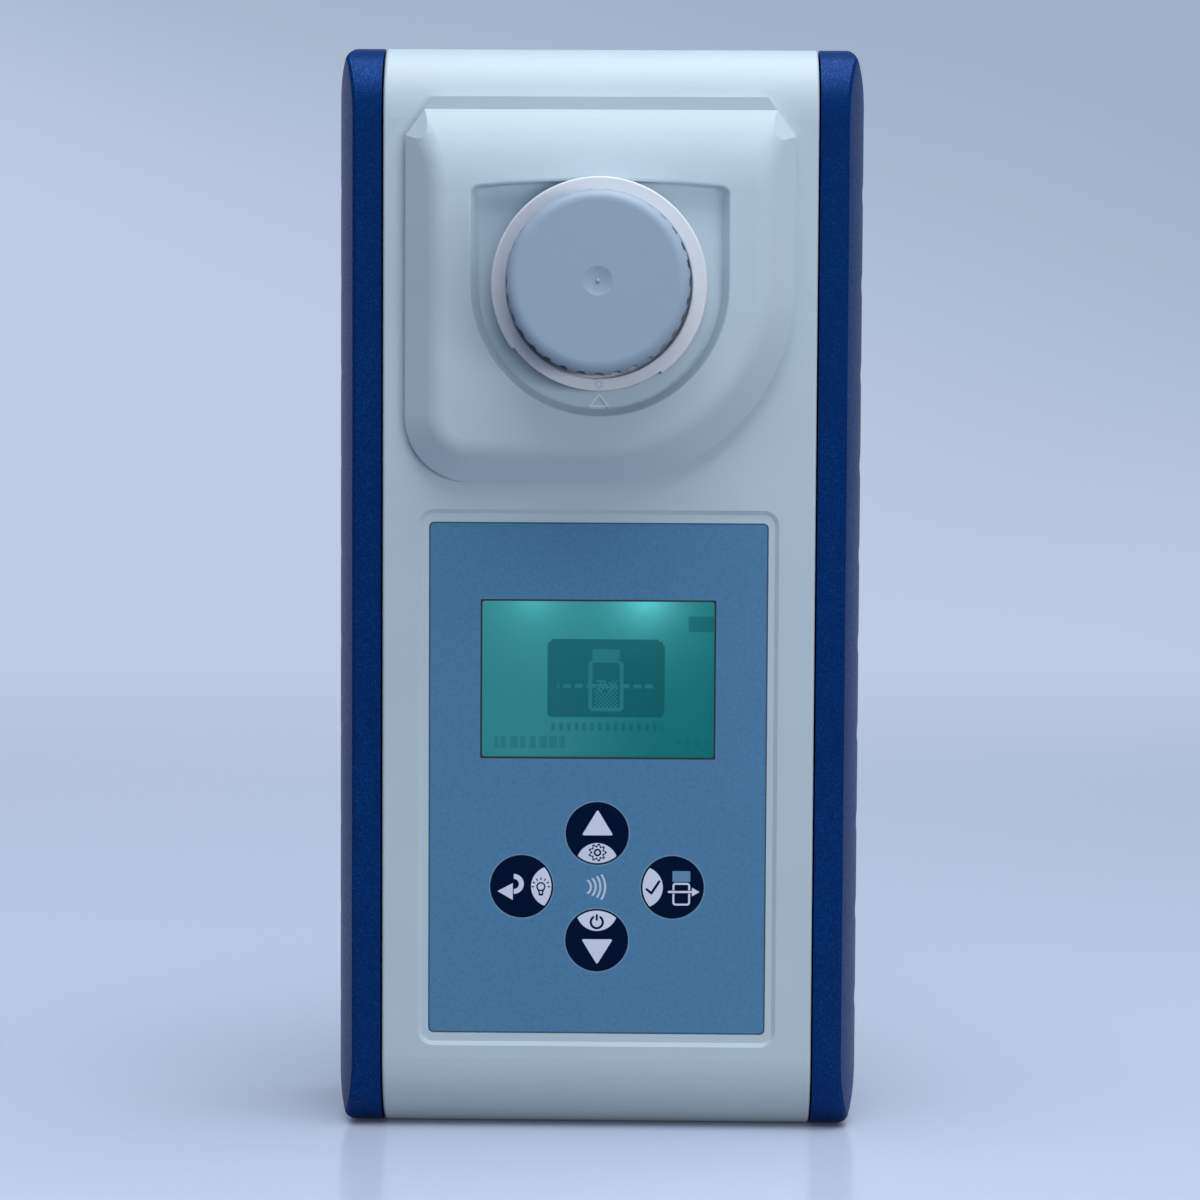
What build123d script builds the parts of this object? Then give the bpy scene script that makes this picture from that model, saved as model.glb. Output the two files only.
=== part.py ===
from build123d import *
import math
import os

# A hand-held photometer for water tests, standing on its bottom end.
# X to the right, Y from the front to the back, Z up, in millimetres.
# The origin is the middle of the bottom end, on the parting line of the two shells.

# Vial, collar and cap: the case is built round them
vial_radius = 12.0
vial_wall = 1.2
vial_base = 1.6
vial_punt = 0.5
foot_round = 1.2
well_clearance = 0.3
neck_setback = 1.9
neck_wall = 1.3
shoulder_round = 1.6
bead_radius = 0.4
bead_drop = 2.2
bead_pitch = 3.0
thread_room = 0.1
cap_overhang = 0.5
cap_height = 14.0
cap_round = 1.6
cap_top_wall = 1.6
cap_flutes = 32
flute_width = 1.5
flute_depth = 0.35
liner_thickness = 1.0
dimple_radius = 2.0
dimple_depth = 0.35
pip_radius = 0.3
collar_wall = 2.5
cap_running_gap = 0.4
collar_height = 6.8
collar_lift = 0.3
collar_step = 0.4
collar_step_start = 216.0
collar_step_end = 306.0
collar_edge_radius = 0.3
lip_height = 0.9
lip_gap = 0.1
neck_gap = 0.4
shoulder_above_foot = 3.6

# Head: raised housing round the vial well
recess_margin = 3.15
recess_depth = 2.6
recess_top_setback = 1.2
recess_arch = 0.95
recess_corner = 1.2
recess_lean = 1.1
recess_foot_radius = 0.6
recess_lip_radius = 0.35
recess_floor_wall = 2.0
collar_room = 0.35
mark_gap = 0.45
mark_width = 2.6
mark_height = 1.65
mark_depth = 0.2
head_rim = 4.75
head_rise = 5.0
head_foot = 1.6
head_shoulder = 4.6
head_corner_radius = 9.2
head_roll_length = 12.9
head_roll_lead = 0.2
head_roll_radius = 20.5
head_top_drop = 7.6
head_bevel_width = 4.0
head_bevel_height = 5.5
head_ridge_radius = 4.0
head_skin = 3.2
head_room_drop = 7.4
head_gap = 3.9

# Case and side grips
front_wall = 2.5
side_wall = 3.0
shell_margin = 3.3
end_round_height = 10.5
end_round_depth = 7.5
end_round_side = 3.4
shell_edge_radius = 0.45
rail_width = 4.2
rail_bulge = 3.0
reveal = 0.25
grip_wall = 2.0
grip_tongue = 1.5
grip_tongue_reach = 1.35
grip_rib = 1.2
grip_edge_bevel = 0.35
dip_count = 10
dip_foot = 17.75
dip_head = 20.25
dip_radius = 6.0
dip_depth = 0.4

# Control panel, from its foot up
panel_foot = 12.3
panel_side_margin = 5.15
pocket_depth = 0.35
pocket_slope = 0.6
pocket_corner = 2.2
foil_side_margin = 1.55
foil_end_margin = 1.85
foil_thickness = 0.4
foil_corner = 0.75
foil_gap = 0.06
pad_foot_margin = 9.0
pad_upright_pitch = 7.7
pad_side_pitch = 10.8
pad_radius = 4.45
pad_thickness = 0.7
pad_crown = 0.14
pad_proud = 0.12
pad_gap = 0.08
pad_travel = 0.35
plunger_radius = 2.0
plunger_clearance = 0.25
display_foot_margin = 6.5
display_width = 33.1
display_length = 22.3
display_head_margin = 11.2
pane_thickness = 1.0
pane_margin = 2.0
ledge_margin = 0.7
glass_side_margin = 1.95
glass_end_margin = 3.35
glass_thickness = 1.8
guide_margin = 0.55
guide_thickness = 2.6
frame_wall = 1.9
peg_radius = 0.7
led_spread = 8.0
led_width = 3.0
led_depth = 1.1
led_height = 1.8
strip_inset = 2.0
strip_width = 2.0

# Circuit board
board_thickness = 1.6
board_side_gap = 2.3
board_foot_gap = 2.8
board_well_gap = 2.2
board_corner = 1.5
board_screw_radius = 0.95
board_head_radius = 1.9
board_head_height = 1.3
board_screw_reach = 3.2
standoff_radius = 2.5
standoff_inset = 3.2
standoff_foot = 4.5
standoff_drop = 14.0
switch_size = 6.0
switch_height = 3.2
switch_rise = 0.5
switch_button_radius = 1.7
data_led_radius = 1.5
data_led_flange = 0.25
data_led_gap = 0.9
processor_x = 9.0
processor_drop = 22.0
processor_size = 10.0
processor_height = 1.5
leg_rows = 12
leg_pitch = 0.75
leg_width = 0.3
leg_length = 1.1
leg_thickness = 0.25
crystal_x = 9.0
crystal_drop = 10.5
crystal_length = 10.5
crystal_width = 4.4
crystal_height = 3.6
crystal_flange = 0.4
buzzer_x = -13.0
buzzer_drop = 20.0
buzzer_radius = 6.0
buzzer_height = 4.2

# Optical block
block_wall = 1.5
block_floor = 1.1
block_rib = 1.6
flange_reach = 4.7
flange_thickness = 2.0
ear_margin = 2.35
ear_radius = 2.7
ear_room = 1.0
ear_head_radius = 1.8
ear_head_height = 1.2
ear_screw_reach = 2.1
eye_bore = 2.4
optic_radius = 3.0
optic_clearance = 0.05
optic_step = 0.4
optic_boss_radius = 4.6
optic_boss_length = 8.2
light_path_height = 9.2
chamber_window_thickness = 1.0
filter_thickness = 2.5
lamp_radius = 2.5
detector_radius = 2.8
lead_radius = 0.25
lead_spread = 1.27
lead_hole_gap = 0.1
optic_board_thickness = 1.2
optic_board_width = 14.0
optic_board_height = 16.0
optic_board_gap = 0.7
flex_thickness = 0.2
flex_width = 4.0
flex_drop = 8.0
flex_foot = 6.0
seal_reach = 2.8
seal_section = 0.6
seal_squeeze = 0.15

# Battery bay
cell_radius = 5.2
cell_gap = 0.5
cell_length = 43.3
cell_round = 0.5
cell_clearance = 0.25
nub_radius = 1.9
nub_length = 0.9
spring_length = 5.6
spring_wire = 0.3
spring_setback = 1.8
spring_turns = 3
spring_taper = -8
contact_thickness = 0.4
contact_half_width = 4.2
contact_half_depth = 3.0
bay_side_gap = 0.9
bay_floor = 1.2
bay_wall = 2.4
cradle_depth = 2.4
parting_gap = 0.35
cover_thickness = 1.8
cover_margin = 2.8
cover_gap = 0.15
cover_corner = 3.0
cover_edge_bevel = 0.3
cover_foot_gap = 0.85
cover_rib = 1.3
cover_rib_inset = 3.0
cover_web_inset = 12.0
cover_seal_width = 1.1
cover_seal_height = 0.85
cover_seal_corner = 2.0
cover_screw_inset = 3.5
cover_boss_wall = 0.55
cover_boss_depth = 1.2
cover_boss_gap = 0.25

# Fasteners and seals
boss_low = 8.0
boss_inset = 6.8
boss_wall = 1.1
insert_radius = 2.1
insert_length = 5.0
insert_waist = 0.3
case_screw_radius = 1.2
case_head_radius = 2.7
case_head_height = 2.0
case_head_depth = 7.0
case_screw_reach = 4.7
cover_screw_radius = 1.45
cover_head_radius = 2.6
cover_head_height = 1.5
cover_screw_reach = 6.4
tube_wall = 1.15
thread_clearance = 0.1
head_clearance = 0.15
gasket_width = 1.0
gasket_height = 0.95
gasket_inset = 2.2
gasket_end_inset = 1.35
gasket_corner = 6.0
groove_clearance = 0.05
seat_gap = 0.05

# Widths, from the vial outwards
cap_radius = vial_radius + cap_overhang
collar_radius = cap_radius + collar_wall
collar_bore = cap_radius + cap_running_gap
recess_radius = collar_radius + recess_margin
head_radius = recess_radius + head_rim + head_shoulder
half_shell = head_radius + shell_margin
half_cavity = half_shell - side_wall
half_edge = half_shell + rail_width
half_case = half_edge + rail_bulge
grip_inner_x = half_shell + reveal
neck_radius = vial_radius - neck_setback
neck_bore = neck_radius - neck_wall
cap_bore = neck_radius + bead_radius + thread_room
bore_radius = vial_radius + well_clearance
block_radius = bore_radius + block_wall
flange_radius = bore_radius + flange_reach
seal_radius = bore_radius + seal_reach
ear_pitch_radius = recess_radius + ear_margin
optic_boss_reach = block_radius + optic_boss_length
lens_seat = bore_radius + optic_step

# Heights, from the foot up
pocket_width = 2 * (half_shell - panel_side_margin)
foil_width = pocket_width - 2 * foil_side_margin
foil_length = (pad_foot_margin + 2 * (pad_upright_pitch + pad_radius) + display_foot_margin
               + display_length + display_head_margin)
pocket_length = foil_length + 2 * foil_end_margin
panel_height = panel_foot + pocket_length / 2
pad_height = panel_foot + foil_end_margin + pad_foot_margin + pad_upright_pitch + pad_radius
display_height = (pad_height + pad_upright_pitch + pad_radius + display_foot_margin
                  + display_length / 2)
well_z = panel_foot + pocket_length + head_gap + head_radius
recess_top = well_z + collar_radius - recess_top_setback
head_top = recess_top + head_roll_length
case_length = head_top + head_top_drop
dip_pitch = (case_length - dip_foot - dip_head) / (dip_count - 1)
glass_width = display_width + 2 * glass_side_margin
glass_length = display_length + 2 * glass_end_margin
guide_length = display_length + 2 * guide_margin
boss_radius = insert_radius + boss_wall
board_width = 2 * (half_cavity - board_side_gap)
board_bottom = boss_low + boss_radius + board_foot_gap
board_top = well_z - optic_board_height / 2 - optic_board_gap
cell_pitch = 2 * cell_radius + cell_gap
bay_half_width = 2 * cell_pitch + bay_side_gap
bay_length = cell_length + nub_length + spring_length + 2 * contact_thickness + 6 * seat_gap
cover_boss_radius = cover_head_radius + head_clearance + cover_boss_wall
cover_bottom = boss_low + case_head_radius + head_clearance + cover_foot_gap
cover_overhang = (cover_screw_inset + cover_boss_radius + cover_boss_gap + cover_seal_width / 2
                  + bay_wall / 2)
bay_bottom = cover_bottom + cover_overhang
bay_top = bay_bottom + bay_length
cover_top = bay_top + cover_overhang
cover_half_width = bay_half_width + cover_margin
cover_screw_heights = (cover_bottom + cover_screw_inset, cover_top - cover_screw_inset)

# Depths, from the back to the front
back_y = front_wall + 2 * cell_radius + cell_clearance + bay_floor + parting_gap + 6 * seat_gap
front_y = -back_y
inner_front_y = front_y + front_wall
inner_back_y = back_y - front_wall
cell_y = inner_back_y - cell_radius - 6 * seat_gap
bay_floor_y = cell_y - cell_radius - cell_clearance
cover_ledge_y = back_y - cover_thickness
cover_insert_y = cover_ledge_y - cover_boss_depth - insert_length - 2 * seat_gap
glass_back_y = inner_front_y + seat_gap + glass_thickness
board_y = glass_back_y + seat_gap + guide_thickness
board_back_y = board_y + board_thickness
pocket_y = front_y + pocket_depth
foil_seat_y = pocket_y + foil_thickness + seat_gap
pane_back_y = foil_seat_y + pane_thickness
pad_front_y = foil_seat_y - foil_thickness - pad_proud
pad_back_y = pad_front_y + pad_thickness
pad_floor_y = pad_back_y + pad_travel + 2 * seat_gap
plunger_end_y = board_y - switch_height - 3 * seat_gap
head_y = front_y - head_rise
recess_y = head_y + recess_depth
flange_y = recess_y + recess_floor_wall + seat_gap
block_back_y = inner_back_y - seat_gap
block_floor_y = block_back_y - block_floor
light_y = block_floor_y - light_path_height
collar_foot_y = recess_y - collar_lift
collar_top_y = collar_foot_y - collar_height
shoulder_y = collar_foot_y - shoulder_above_foot
lip_back_y = shoulder_y - lip_gap
lip_front_y = lip_back_y - lip_height
cap_foot_y = lip_front_y - 2 * lip_gap
cap_top_y = cap_foot_y - cap_height
liner_front_y = cap_top_y + cap_top_wall + seat_gap
rim_y = liner_front_y + liner_thickness + seat_gap
vial_bottom_y = block_floor_y - 2 * seat_gap

# Places of what repeats
pad_centres = {
    "up": (0.0, pad_height + pad_upright_pitch),
    "down": (0.0, pad_height - pad_upright_pitch),
    "left": (-pad_side_pitch, pad_height),
    "right": (pad_side_pitch, pad_height),
}
sides = (-1, 1)
boss_centres = [(s * (half_shell - boss_inset), z) for s in sides for z in (boss_low, case_length - boss_low)]
standoff_centres = [(s * (board_width / 2 - standoff_inset), z) for s in sides
                    for z in (board_bottom + standoff_foot, board_top - standoff_drop)]
ear_angles = (0, 90, 180, 270)
cell_centres = [(i - 1.5) * cell_pitch for i in range(4)]


def block(x, y, z):
    """A block between pairs of coordinates."""
    size = [high - low for low, high in (x, y, z)]
    middle = [(low + high) / 2 for low, high in (x, y, z)]
    return Pos(*middle) * Box(*size)


def slab(profile, front, back):
    """A front-view profile made solid between two depths."""
    return extrude(Plane.XZ.offset(-back) * profile, back - front)


def rod(x, z, radius, front, back):
    """A round bar from front to back."""
    return slab(Pos(x, z) * Circle(radius), front, back)


def tube(x, z, outer, inner, front, back):
    """A round sleeve from front to back."""
    return slab(Pos(x, z) * (Circle(outer) - Circle(inner)), front, back)


def side_slab(profile, left, right):
    """A side-view profile (depth, height) made solid between two widths."""
    return extrude(Plane.YZ.offset(left) * profile, right - left)


def cross_rod(radius, left, right, y=light_y, z=well_z):
    """A round bar across the case, by default along the light path."""
    return side_slab(Pos(y, z) * Circle(radius), left, right)


def round_ended(x_low, x_high, y_low, y_high, x_round, y_round):
    """A rectangle whose four corners are quarter ellipses."""
    left, right = x_low + x_round, x_high - x_round
    low, high = y_low + y_round, y_high - y_round
    corners = [(right, high, 0), (left, high, 90), (left, low, 180), (right, low, 270)]
    arcs = [EllipticalCenterArc((x, y), x_round, y_round, start_angle=start, arc_size=90)
            for x, y, start in corners]
    lines = [Line(arcs[i] @ 1, arcs[(i + 1) % 4] @ 0) for i in range(4)]
    return make_face(Curve() + arcs + lines)


def ring_profile(half_width, low, high, corner, width):
    """A rectangular loop of even width, drawn about its centre line."""
    size = (2 * half_width, high - low)
    outer = RectangleRounded(size[0] + width, size[1] + width, corner + width / 2)
    inner = RectangleRounded(size[0] - width, size[1] - width, corner - width / 2)
    return Pos(0, (low + high) / 2) * (outer - inner)


def end_profile(inset=0.0):
    """The case seen from the side, or the same form drawn in by a wall."""
    half = back_y - inset
    return round_ended(-half, half, inset, case_length - inset,
                       end_round_depth - inset, end_round_height - inset)


def shell_form():
    """The plain outer form of both shells together."""
    return side_slab(end_profile(), -half_shell, half_shell)


def side_edges(shell, side):
    """The long edges of a shell's side faces, without its parting line. side is -1 in front and 1 behind."""
    inner = back_y - end_round_depth - 1
    return shell.edges().filter_by(
        lambda e: abs(abs(e.center().X) - half_shell) < 0.01 and side * e.center().Y > inner)


def grip_form(inset=0.0):
    """The outer form of the case across the grips: bowed sides and rounded ends."""
    edge = half_edge - inset
    middle = half_case - inset
    half = back_y - inset
    right = ThreePointArc((edge, -half), (middle, 0), (edge, half))
    left = ThreePointArc((-edge, half), (-middle, 0), (-edge, -half))
    section = make_face(right + Line(right @ 1, left @ 0) + left + Line(left @ 1, right @ 0))
    front_view = round_ended(-middle, middle, inset, case_length - inset,
                             end_round_side, end_round_height - inset)
    bar = extrude(section, case_length)
    return bar & slab(front_view, -half, half) & side_slab(end_profile(inset), -middle, middle)


def head_outline():
    """The foot of the raised head: a circle round the well, squared to the top and the lower left."""
    r = head_radius
    top = head_top
    shoulder = top - head_bevel_height
    sweep_round = CenterArc((0, well_z), r, 270, 90)
    corner = head_corner_radius
    low = well_z - r
    low_corner = CenterArc((-r + corner, low + corner), corner, 180, 90)
    points = [
        sweep_round @ 1,
        (r, shoulder),
        (r - head_bevel_width, top),
        (-r + head_bevel_width, top),
        (-r, shoulder),
        low_corner @ 0,
    ]
    return make_face(sweep_round + Polyline(*points) + low_corner + Line(low_corner @ 1, sweep_round @ 0))


def head_top_profile():
    """Side view of the head: flat over the well, rolling back to the top end."""
    start = recess_top - head_roll_lead
    end = head_top + 1
    turn = math.asin((end - start) / head_roll_radius)
    roll = CenterArc((head_y + head_roll_radius, start), head_roll_radius, 180, -math.degrees(turn))
    outline = Polyline(roll @ 1, (0, (roll @ 1).Y), (0, 0), (head_y, 0), roll @ 0)
    return make_face(roll + outline)


def head_form():
    """The raised head with its soft shoulder."""
    foot_y = front_y - head_foot
    foot = slab(head_outline(), foot_y, front_y + head_foot)
    slope = math.degrees(math.atan(head_shoulder / (head_y - foot_y) * -1))
    crown = extrude(Plane.XZ.offset(-foot_y) * head_outline(), foot_y - head_y, taper=slope)
    crown = crown & side_slab(head_top_profile(), -head_radius, head_radius)
    ridge = crown.edges().filter_by(lambda e: e.center().Y < head_y + 0.05 * head_rise)
    crown = fillet(ridge, head_ridge_radius)
    return foot + crown


def recess_outline(grow=0.0, side_grow=None):
    """The D-shaped sink round the well: half a circle below, an arched top above."""
    r = recess_radius + (grow if side_grow is None else side_grow)
    top = recess_top + grow
    bowl = CenterArc((0, well_z), r, 180, 180)
    right = Line(bowl @ 1, (r, top))
    arch = ThreePointArc((r, top), (0, top + recess_arch), (-r, top))
    left = Line((-r, top), bowl @ 0)
    face = make_face(bowl + right + arch + left)
    corners = face.vertices().filter_by(lambda v: v.Y > well_z + 1)
    return fillet(corners, recess_corner)


def well_recess():
    """What the recess takes away: leaning sides, a soft foot, and room for the collar's top."""
    mouth = Plane.XZ.offset(-head_y) * recess_outline()
    floor = Plane.XZ.offset(-recess_y) * recess_outline(0.0, -recess_lean)
    cut = loft([mouth, floor], ruled=True)
    foot = cut.edges().filter_by(lambda e: abs(e.center().Y - recess_y) < 0.01)
    cut = fillet(foot, recess_foot_radius)
    return cut + rod(0, well_z, collar_radius + collar_room, head_y - 1, recess_y)


def soften_recess_lip(shell):
    """Round the recess's front edge over."""
    centre = Vector(0, head_y, well_z)
    lip = shell.edges().filter_by(
        lambda e: abs(e.center().Y - head_y) < 0.02 and (e.center() - centre).length < recess_radius + 1)
    return fillet(lip, recess_lip_radius)


def mark_cut():
    """The small sunk triangle that the vial's mark is set against."""
    apex = well_z - collar_radius - mark_gap
    foot = apex - mark_height
    face = make_face(Polyline((0, apex), (mark_width / 2, foot), (-mark_width / 2, foot), close=True))
    return slab(face, recess_y - mark_depth, recess_y + mark_depth)


def panel_face(width, length, corner):
    """A rounded rectangle on the control panel's centre."""
    return Pos(0, panel_height) * RectangleRounded(width, length, corner)


def display_face(margin):
    """A rounded rectangle round the display."""
    corner = foil_corner / 2 + margin / 4
    return Pos(0, display_height) * RectangleRounded(
        display_width + 2 * margin, display_length + 2 * margin, corner)


def make_front_shell():
    """Front half of the case, with the head, the panel pocket, posts and bosses."""
    front_half = block((-half_shell, half_shell), (front_y - head_rise, 0), (0, case_length))
    outer = shell_form() & front_half
    outer = fillet(side_edges(outer, -1), shell_edge_radius)
    outer = outer + head_form()
    cavity = side_slab(end_profile(front_wall), -half_cavity, half_cavity)
    cavity = cavity & block((-half_cavity, half_cavity), (inner_front_y, 1), (0, case_length))
    head_room = offset(head_outline(), -head_skin, kind=Kind.INTERSECTION)
    room_top = head_top - head_room_drop
    head_room = head_room & Pos(0, room_top - 2 * head_radius) * Rectangle(4 * head_radius, 4 * head_radius)
    island = recess_outline(recess_floor_wall)
    hollow = slab(head_room - island, head_y + head_skin, 0)
    under = slab(island, recess_y + recess_floor_wall, 0)
    shell = outer - cavity - hollow - under
    posts = [rod(x, z, boss_radius, head_y, -seat_gap) for x, z in boss_centres]
    posts += [rod(x, z, standoff_radius, head_y, board_y) for x, z in standoff_centres]
    posts += [rod(*ear_centre(a), ear_radius, head_y, flange_y - seat_gap) for a in ear_angles]
    ear_rooms = [rod(*ear_centre(a), ear_radius + ear_room, flange_y - seat_gap, 0) for a in ear_angles]
    shell = shell - ear_rooms + (Part() + posts & outer)
    shell = soften_recess_lip(shell - well_recess())
    shell = shell - rod(0, well_z, bore_radius + seat_gap, head_y, 0)
    return shell - front_holes() - panel_cuts() - rim_rebates(-1) - mark_cut()


def front_holes():
    """Holes in the posts for inserts and screws."""
    holes = [rod(x, z, insert_radius, -insert_length - seat_gap, 0) for x, z in boss_centres]
    holes += [rod(x, z, case_screw_radius + thread_clearance, -1.5 * insert_length, 0)
              for x, z in boss_centres]
    thread = board_screw_radius + seat_gap
    board_depth = board_screw_reach + 8 * seat_gap
    holes += [rod(x, z, thread, board_y - board_depth, board_y) for x, z in standoff_centres]
    ear_depth = ear_screw_reach + 6 * seat_gap
    holes += [rod(*ear_centre(a), thread, flange_y - ear_depth, flange_y) for a in ear_angles]
    return Part() + holes


def ear_centre(angle):
    """Centre of one of the optical block's screws, in the front view."""
    turn = math.radians(angle)
    return ear_pitch_radius * math.cos(turn), well_z + ear_pitch_radius * math.sin(turn)


def panel_cuts():
    """The stepped pocket, the display opening, and the holes under the keys and the data lamp."""
    slope_face = Plane.XZ.offset(-front_y + 0.001) * panel_face(pocket_width, pocket_length, pocket_corner)
    lean = math.degrees(math.atan(pocket_slope / pocket_depth))
    pocket = extrude(slope_face, -pocket_depth, taper=lean)
    seat = slab(panel_face(foil_width + 2 * foil_gap, foil_length + 2 * foil_gap, foil_corner),
                front_y, foil_seat_y)
    pane = slab(display_face(pane_margin + foil_gap), front_y, pane_back_y)
    opening = slab(display_face(ledge_margin), front_y, 0)
    cuts = [pocket, seat, pane, opening]
    for x, z in pad_centres.values():
        cuts.append(rod(x, z, pad_radius + pad_gap, front_y, pad_floor_y))
        cuts.append(rod(x, z, plunger_radius + plunger_clearance, front_y, 0))
    cuts.append(rod(0, pad_height, data_led_radius + 2 * plunger_clearance, front_y, 0))
    return Part() + cuts


def rim_rebates(side):
    """Steps in the side rims that clamp the grips' tongues. side is -1 in front and 1 behind."""
    depth = sorted((0, side * (grip_tongue / 2 + seat_gap)))
    edge = half_shell - grip_tongue_reach + 2 * seat_gap
    rebates = [block(sorted((s * edge, s * (half_shell + 1))), depth, (-1, case_length + 1)) for s in sides]
    return Part() + rebates


def make_rear_shell():
    """Rear half of the case, with the battery bay, the cover's seat and the screw tubes."""
    rear_half = block((-half_shell, half_shell), (0, back_y), (0, case_length))
    outer = shell_form() & rear_half
    outer = fillet(side_edges(outer, 1), shell_edge_radius)
    cavity = side_slab(end_profile(front_wall), -half_cavity, half_cavity)
    cavity = cavity & block((-half_cavity, half_cavity), (-1, inner_back_y), (0, case_length))
    bay_z = (bay_bottom - bay_wall, bay_top + bay_wall)
    bay_x = (-bay_half_width - bay_wall, bay_half_width + bay_wall)
    tray = block(bay_x, (bay_floor_y - bay_floor, back_y), bay_z)
    tube_radius = case_head_radius + head_clearance + tube_wall
    tubes = [rod(x, z, tube_radius, seat_gap, back_y) for x, z in boss_centres]
    tubes += [rod(0, z, cover_boss_radius + tube_wall, cover_insert_y - seat_gap, back_y)
              for z in cover_screw_heights]
    shell = outer - cavity + (Part() + tubes + tray & outer)
    shell = shell - bay_cuts() - rear_holes() - rim_rebates(1)
    groove = gasket_face(gasket_width + 2 * groove_clearance)
    return shell - slab(groove, 0, gasket_height + seat_gap)


def bay_cuts():
    """The cells' room with a cradle for each cell, the cover's seat and the seal's groove."""
    room = block((-bay_half_width, bay_half_width), (bay_floor_y + cradle_depth, back_y + 1),
                 (bay_bottom, bay_top))
    cradles = [extrude(Pos(x, cell_y, bay_bottom) * Circle(cell_radius + cell_clearance), bay_length)
               for x in cell_centres]
    seat = slab(cover_face(cover_gap), cover_ledge_y, back_y + 1)
    groove = slab(cover_seal_face(cover_seal_width + 2 * groove_clearance),
                  cover_ledge_y - cover_seal_height - seat_gap, back_y)
    return Part() + [room, seat, groove] + cradles


def cover_face(grow=0.0):
    """The battery cover's outline."""
    size = (2 * (cover_half_width + grow), cover_top - cover_bottom + 2 * grow)
    return Pos(0, (cover_bottom + cover_top) / 2) * RectangleRounded(*size, cover_corner + grow)


def cover_seal_face(width):
    """The loop of the battery seal, midway in the bay's wall."""
    reach = bay_wall / 2
    return ring_profile(bay_half_width + reach, bay_bottom - reach, bay_top + reach,
                        cover_seal_corner, width)


def gasket_face(width):
    """The loop of the seal between the shells."""
    return ring_profile(half_shell - gasket_inset, gasket_end_inset, case_length - gasket_end_inset,
                        gasket_corner, width)


def rear_holes():
    """Counterbored holes for the case screws and the seats of the cover's screws."""
    holes = [rod(x, z, case_screw_radius + thread_clearance, 0, back_y) for x, z in boss_centres]
    holes += [rod(x, z, case_head_radius + head_clearance, back_y - case_head_depth, back_y)
              for x, z in boss_centres]
    boss_room = cover_ledge_y - cover_boss_depth - seat_gap
    for z in cover_screw_heights:
        holes.append(rod(0, z, cover_boss_radius + 4 * seat_gap, boss_room, back_y))
        holes.append(rod(0, z, insert_radius, cover_insert_y, back_y))
        holes.append(rod(0, z, cover_screw_radius + thread_clearance, cover_insert_y - seat_gap, back_y))
    return Part() + holes


def make_grip(side):
    """A blue side rail: bowed skin, centre web with its tongue, and ribs. side is -1 left, 1 right."""
    reach = half_case + 1
    keep = block(sorted((side * grip_inner_x, side * reach)), (front_y, back_y), (0, case_length))
    outer = grip_form()
    crisp = outer.edges().filter_by(
        lambda e: abs(abs(e.center().X) - half_edge) < 0.3 and abs(e.center().Y) > back_y - 0.1)
    outer = chamfer(crisp, grip_edge_bevel)
    rail = outer & keep
    centre_x = side * (half_case + dip_radius - dip_depth)
    dips = [rod(centre_x, dip_foot + i * dip_pitch, dip_radius, front_y, back_y) for i in range(dip_count)]
    hollow = grip_form(grip_wall) & keep
    web = block((-reach, reach), (-grip_tongue / 2, grip_tongue / 2), (0, case_length))
    rib_heights = [dip_foot + (i + 0.5) * dip_pitch for i in range(dip_count - 1)]
    ribs = [block((-reach, reach), (front_y, back_y), (z - grip_rib / 2, z + grip_rib / 2))
            for z in rib_heights]
    hollow = hollow - web - ribs
    tongue_x = (half_shell - grip_tongue_reach + 4 * seat_gap, grip_inner_x + grip_wall)
    tongue = block(sorted(side * x for x in tongue_x), (-grip_tongue / 2, grip_tongue / 2),
                   (grip_wall, case_length - grip_wall))
    return rail - hollow - dips + tongue


def make_gasket():
    """Cord seal between the shells."""
    return slab(gasket_face(gasket_width), seat_gap / 2, gasket_height)


def make_faceplate():
    """Printed foil with its openings for the display and the four keys."""
    sheet = panel_face(foil_width, foil_length, foil_corner) - display_face(0.0)
    for x, z in pad_centres.values():
        sheet = sheet - Pos(x, z) * Circle(pad_radius + pad_gap)
    return slab(sheet, foil_seat_y - foil_thickness, foil_seat_y)


def make_pane():
    """Clear window under the foil."""
    return slab(display_face(pane_margin), foil_seat_y, pane_back_y)


def make_glass():
    """The liquid crystal cell: two plates, the rear one with the contact edges."""
    front = inner_front_y + seat_gap
    middle = (front + glass_back_y) / 2
    near = slab(Pos(0, display_height) * Rectangle(glass_width, guide_length), front, middle)
    far = slab(Pos(0, display_height) * Rectangle(glass_width, glass_length), middle, glass_back_y)
    return near + far


def make_light_guide():
    """Light guide behind the cell, notched for its two lamps."""
    plate = slab(Pos(0, display_height) * Rectangle(glass_width, guide_length), board_y - guide_thickness,
                 board_y)
    top = display_height + guide_length / 2
    notch = led_width / 2 + 4 * seat_gap
    notches = [block((x - notch, x + notch), (board_y - guide_thickness, board_y),
                     (top - led_depth - 6 * seat_gap, top)) for x in (-led_spread, led_spread)]
    return plate - notches


def make_backlight_leds():
    """Two side-shining lamps in the light guide's upper notches."""
    top = display_height + guide_length / 2 - 2 * seat_gap
    lamps = []
    for x in (-led_spread, led_spread):
        body = block((x - led_width / 2, x + led_width / 2), (board_y - led_height, board_y),
                     (top - led_depth, top))
        face = body.faces().sort_by(Axis.Z)[0].edges().filter_by(Axis.X)
        lamps.append(chamfer(face, led_depth / 4))
    return Part() + lamps


def frame_size():
    """Inner width and length of the display frame."""
    return glass_width + 4 * seat_gap, glass_length + 4 * seat_gap


def peg_centres():
    """Where the frame's pegs pass the board."""
    width, length = frame_size()
    return [(sx * (width + frame_wall) / 2, display_height + sz * length / 3) for sx in sides for sz in sides]


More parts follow.
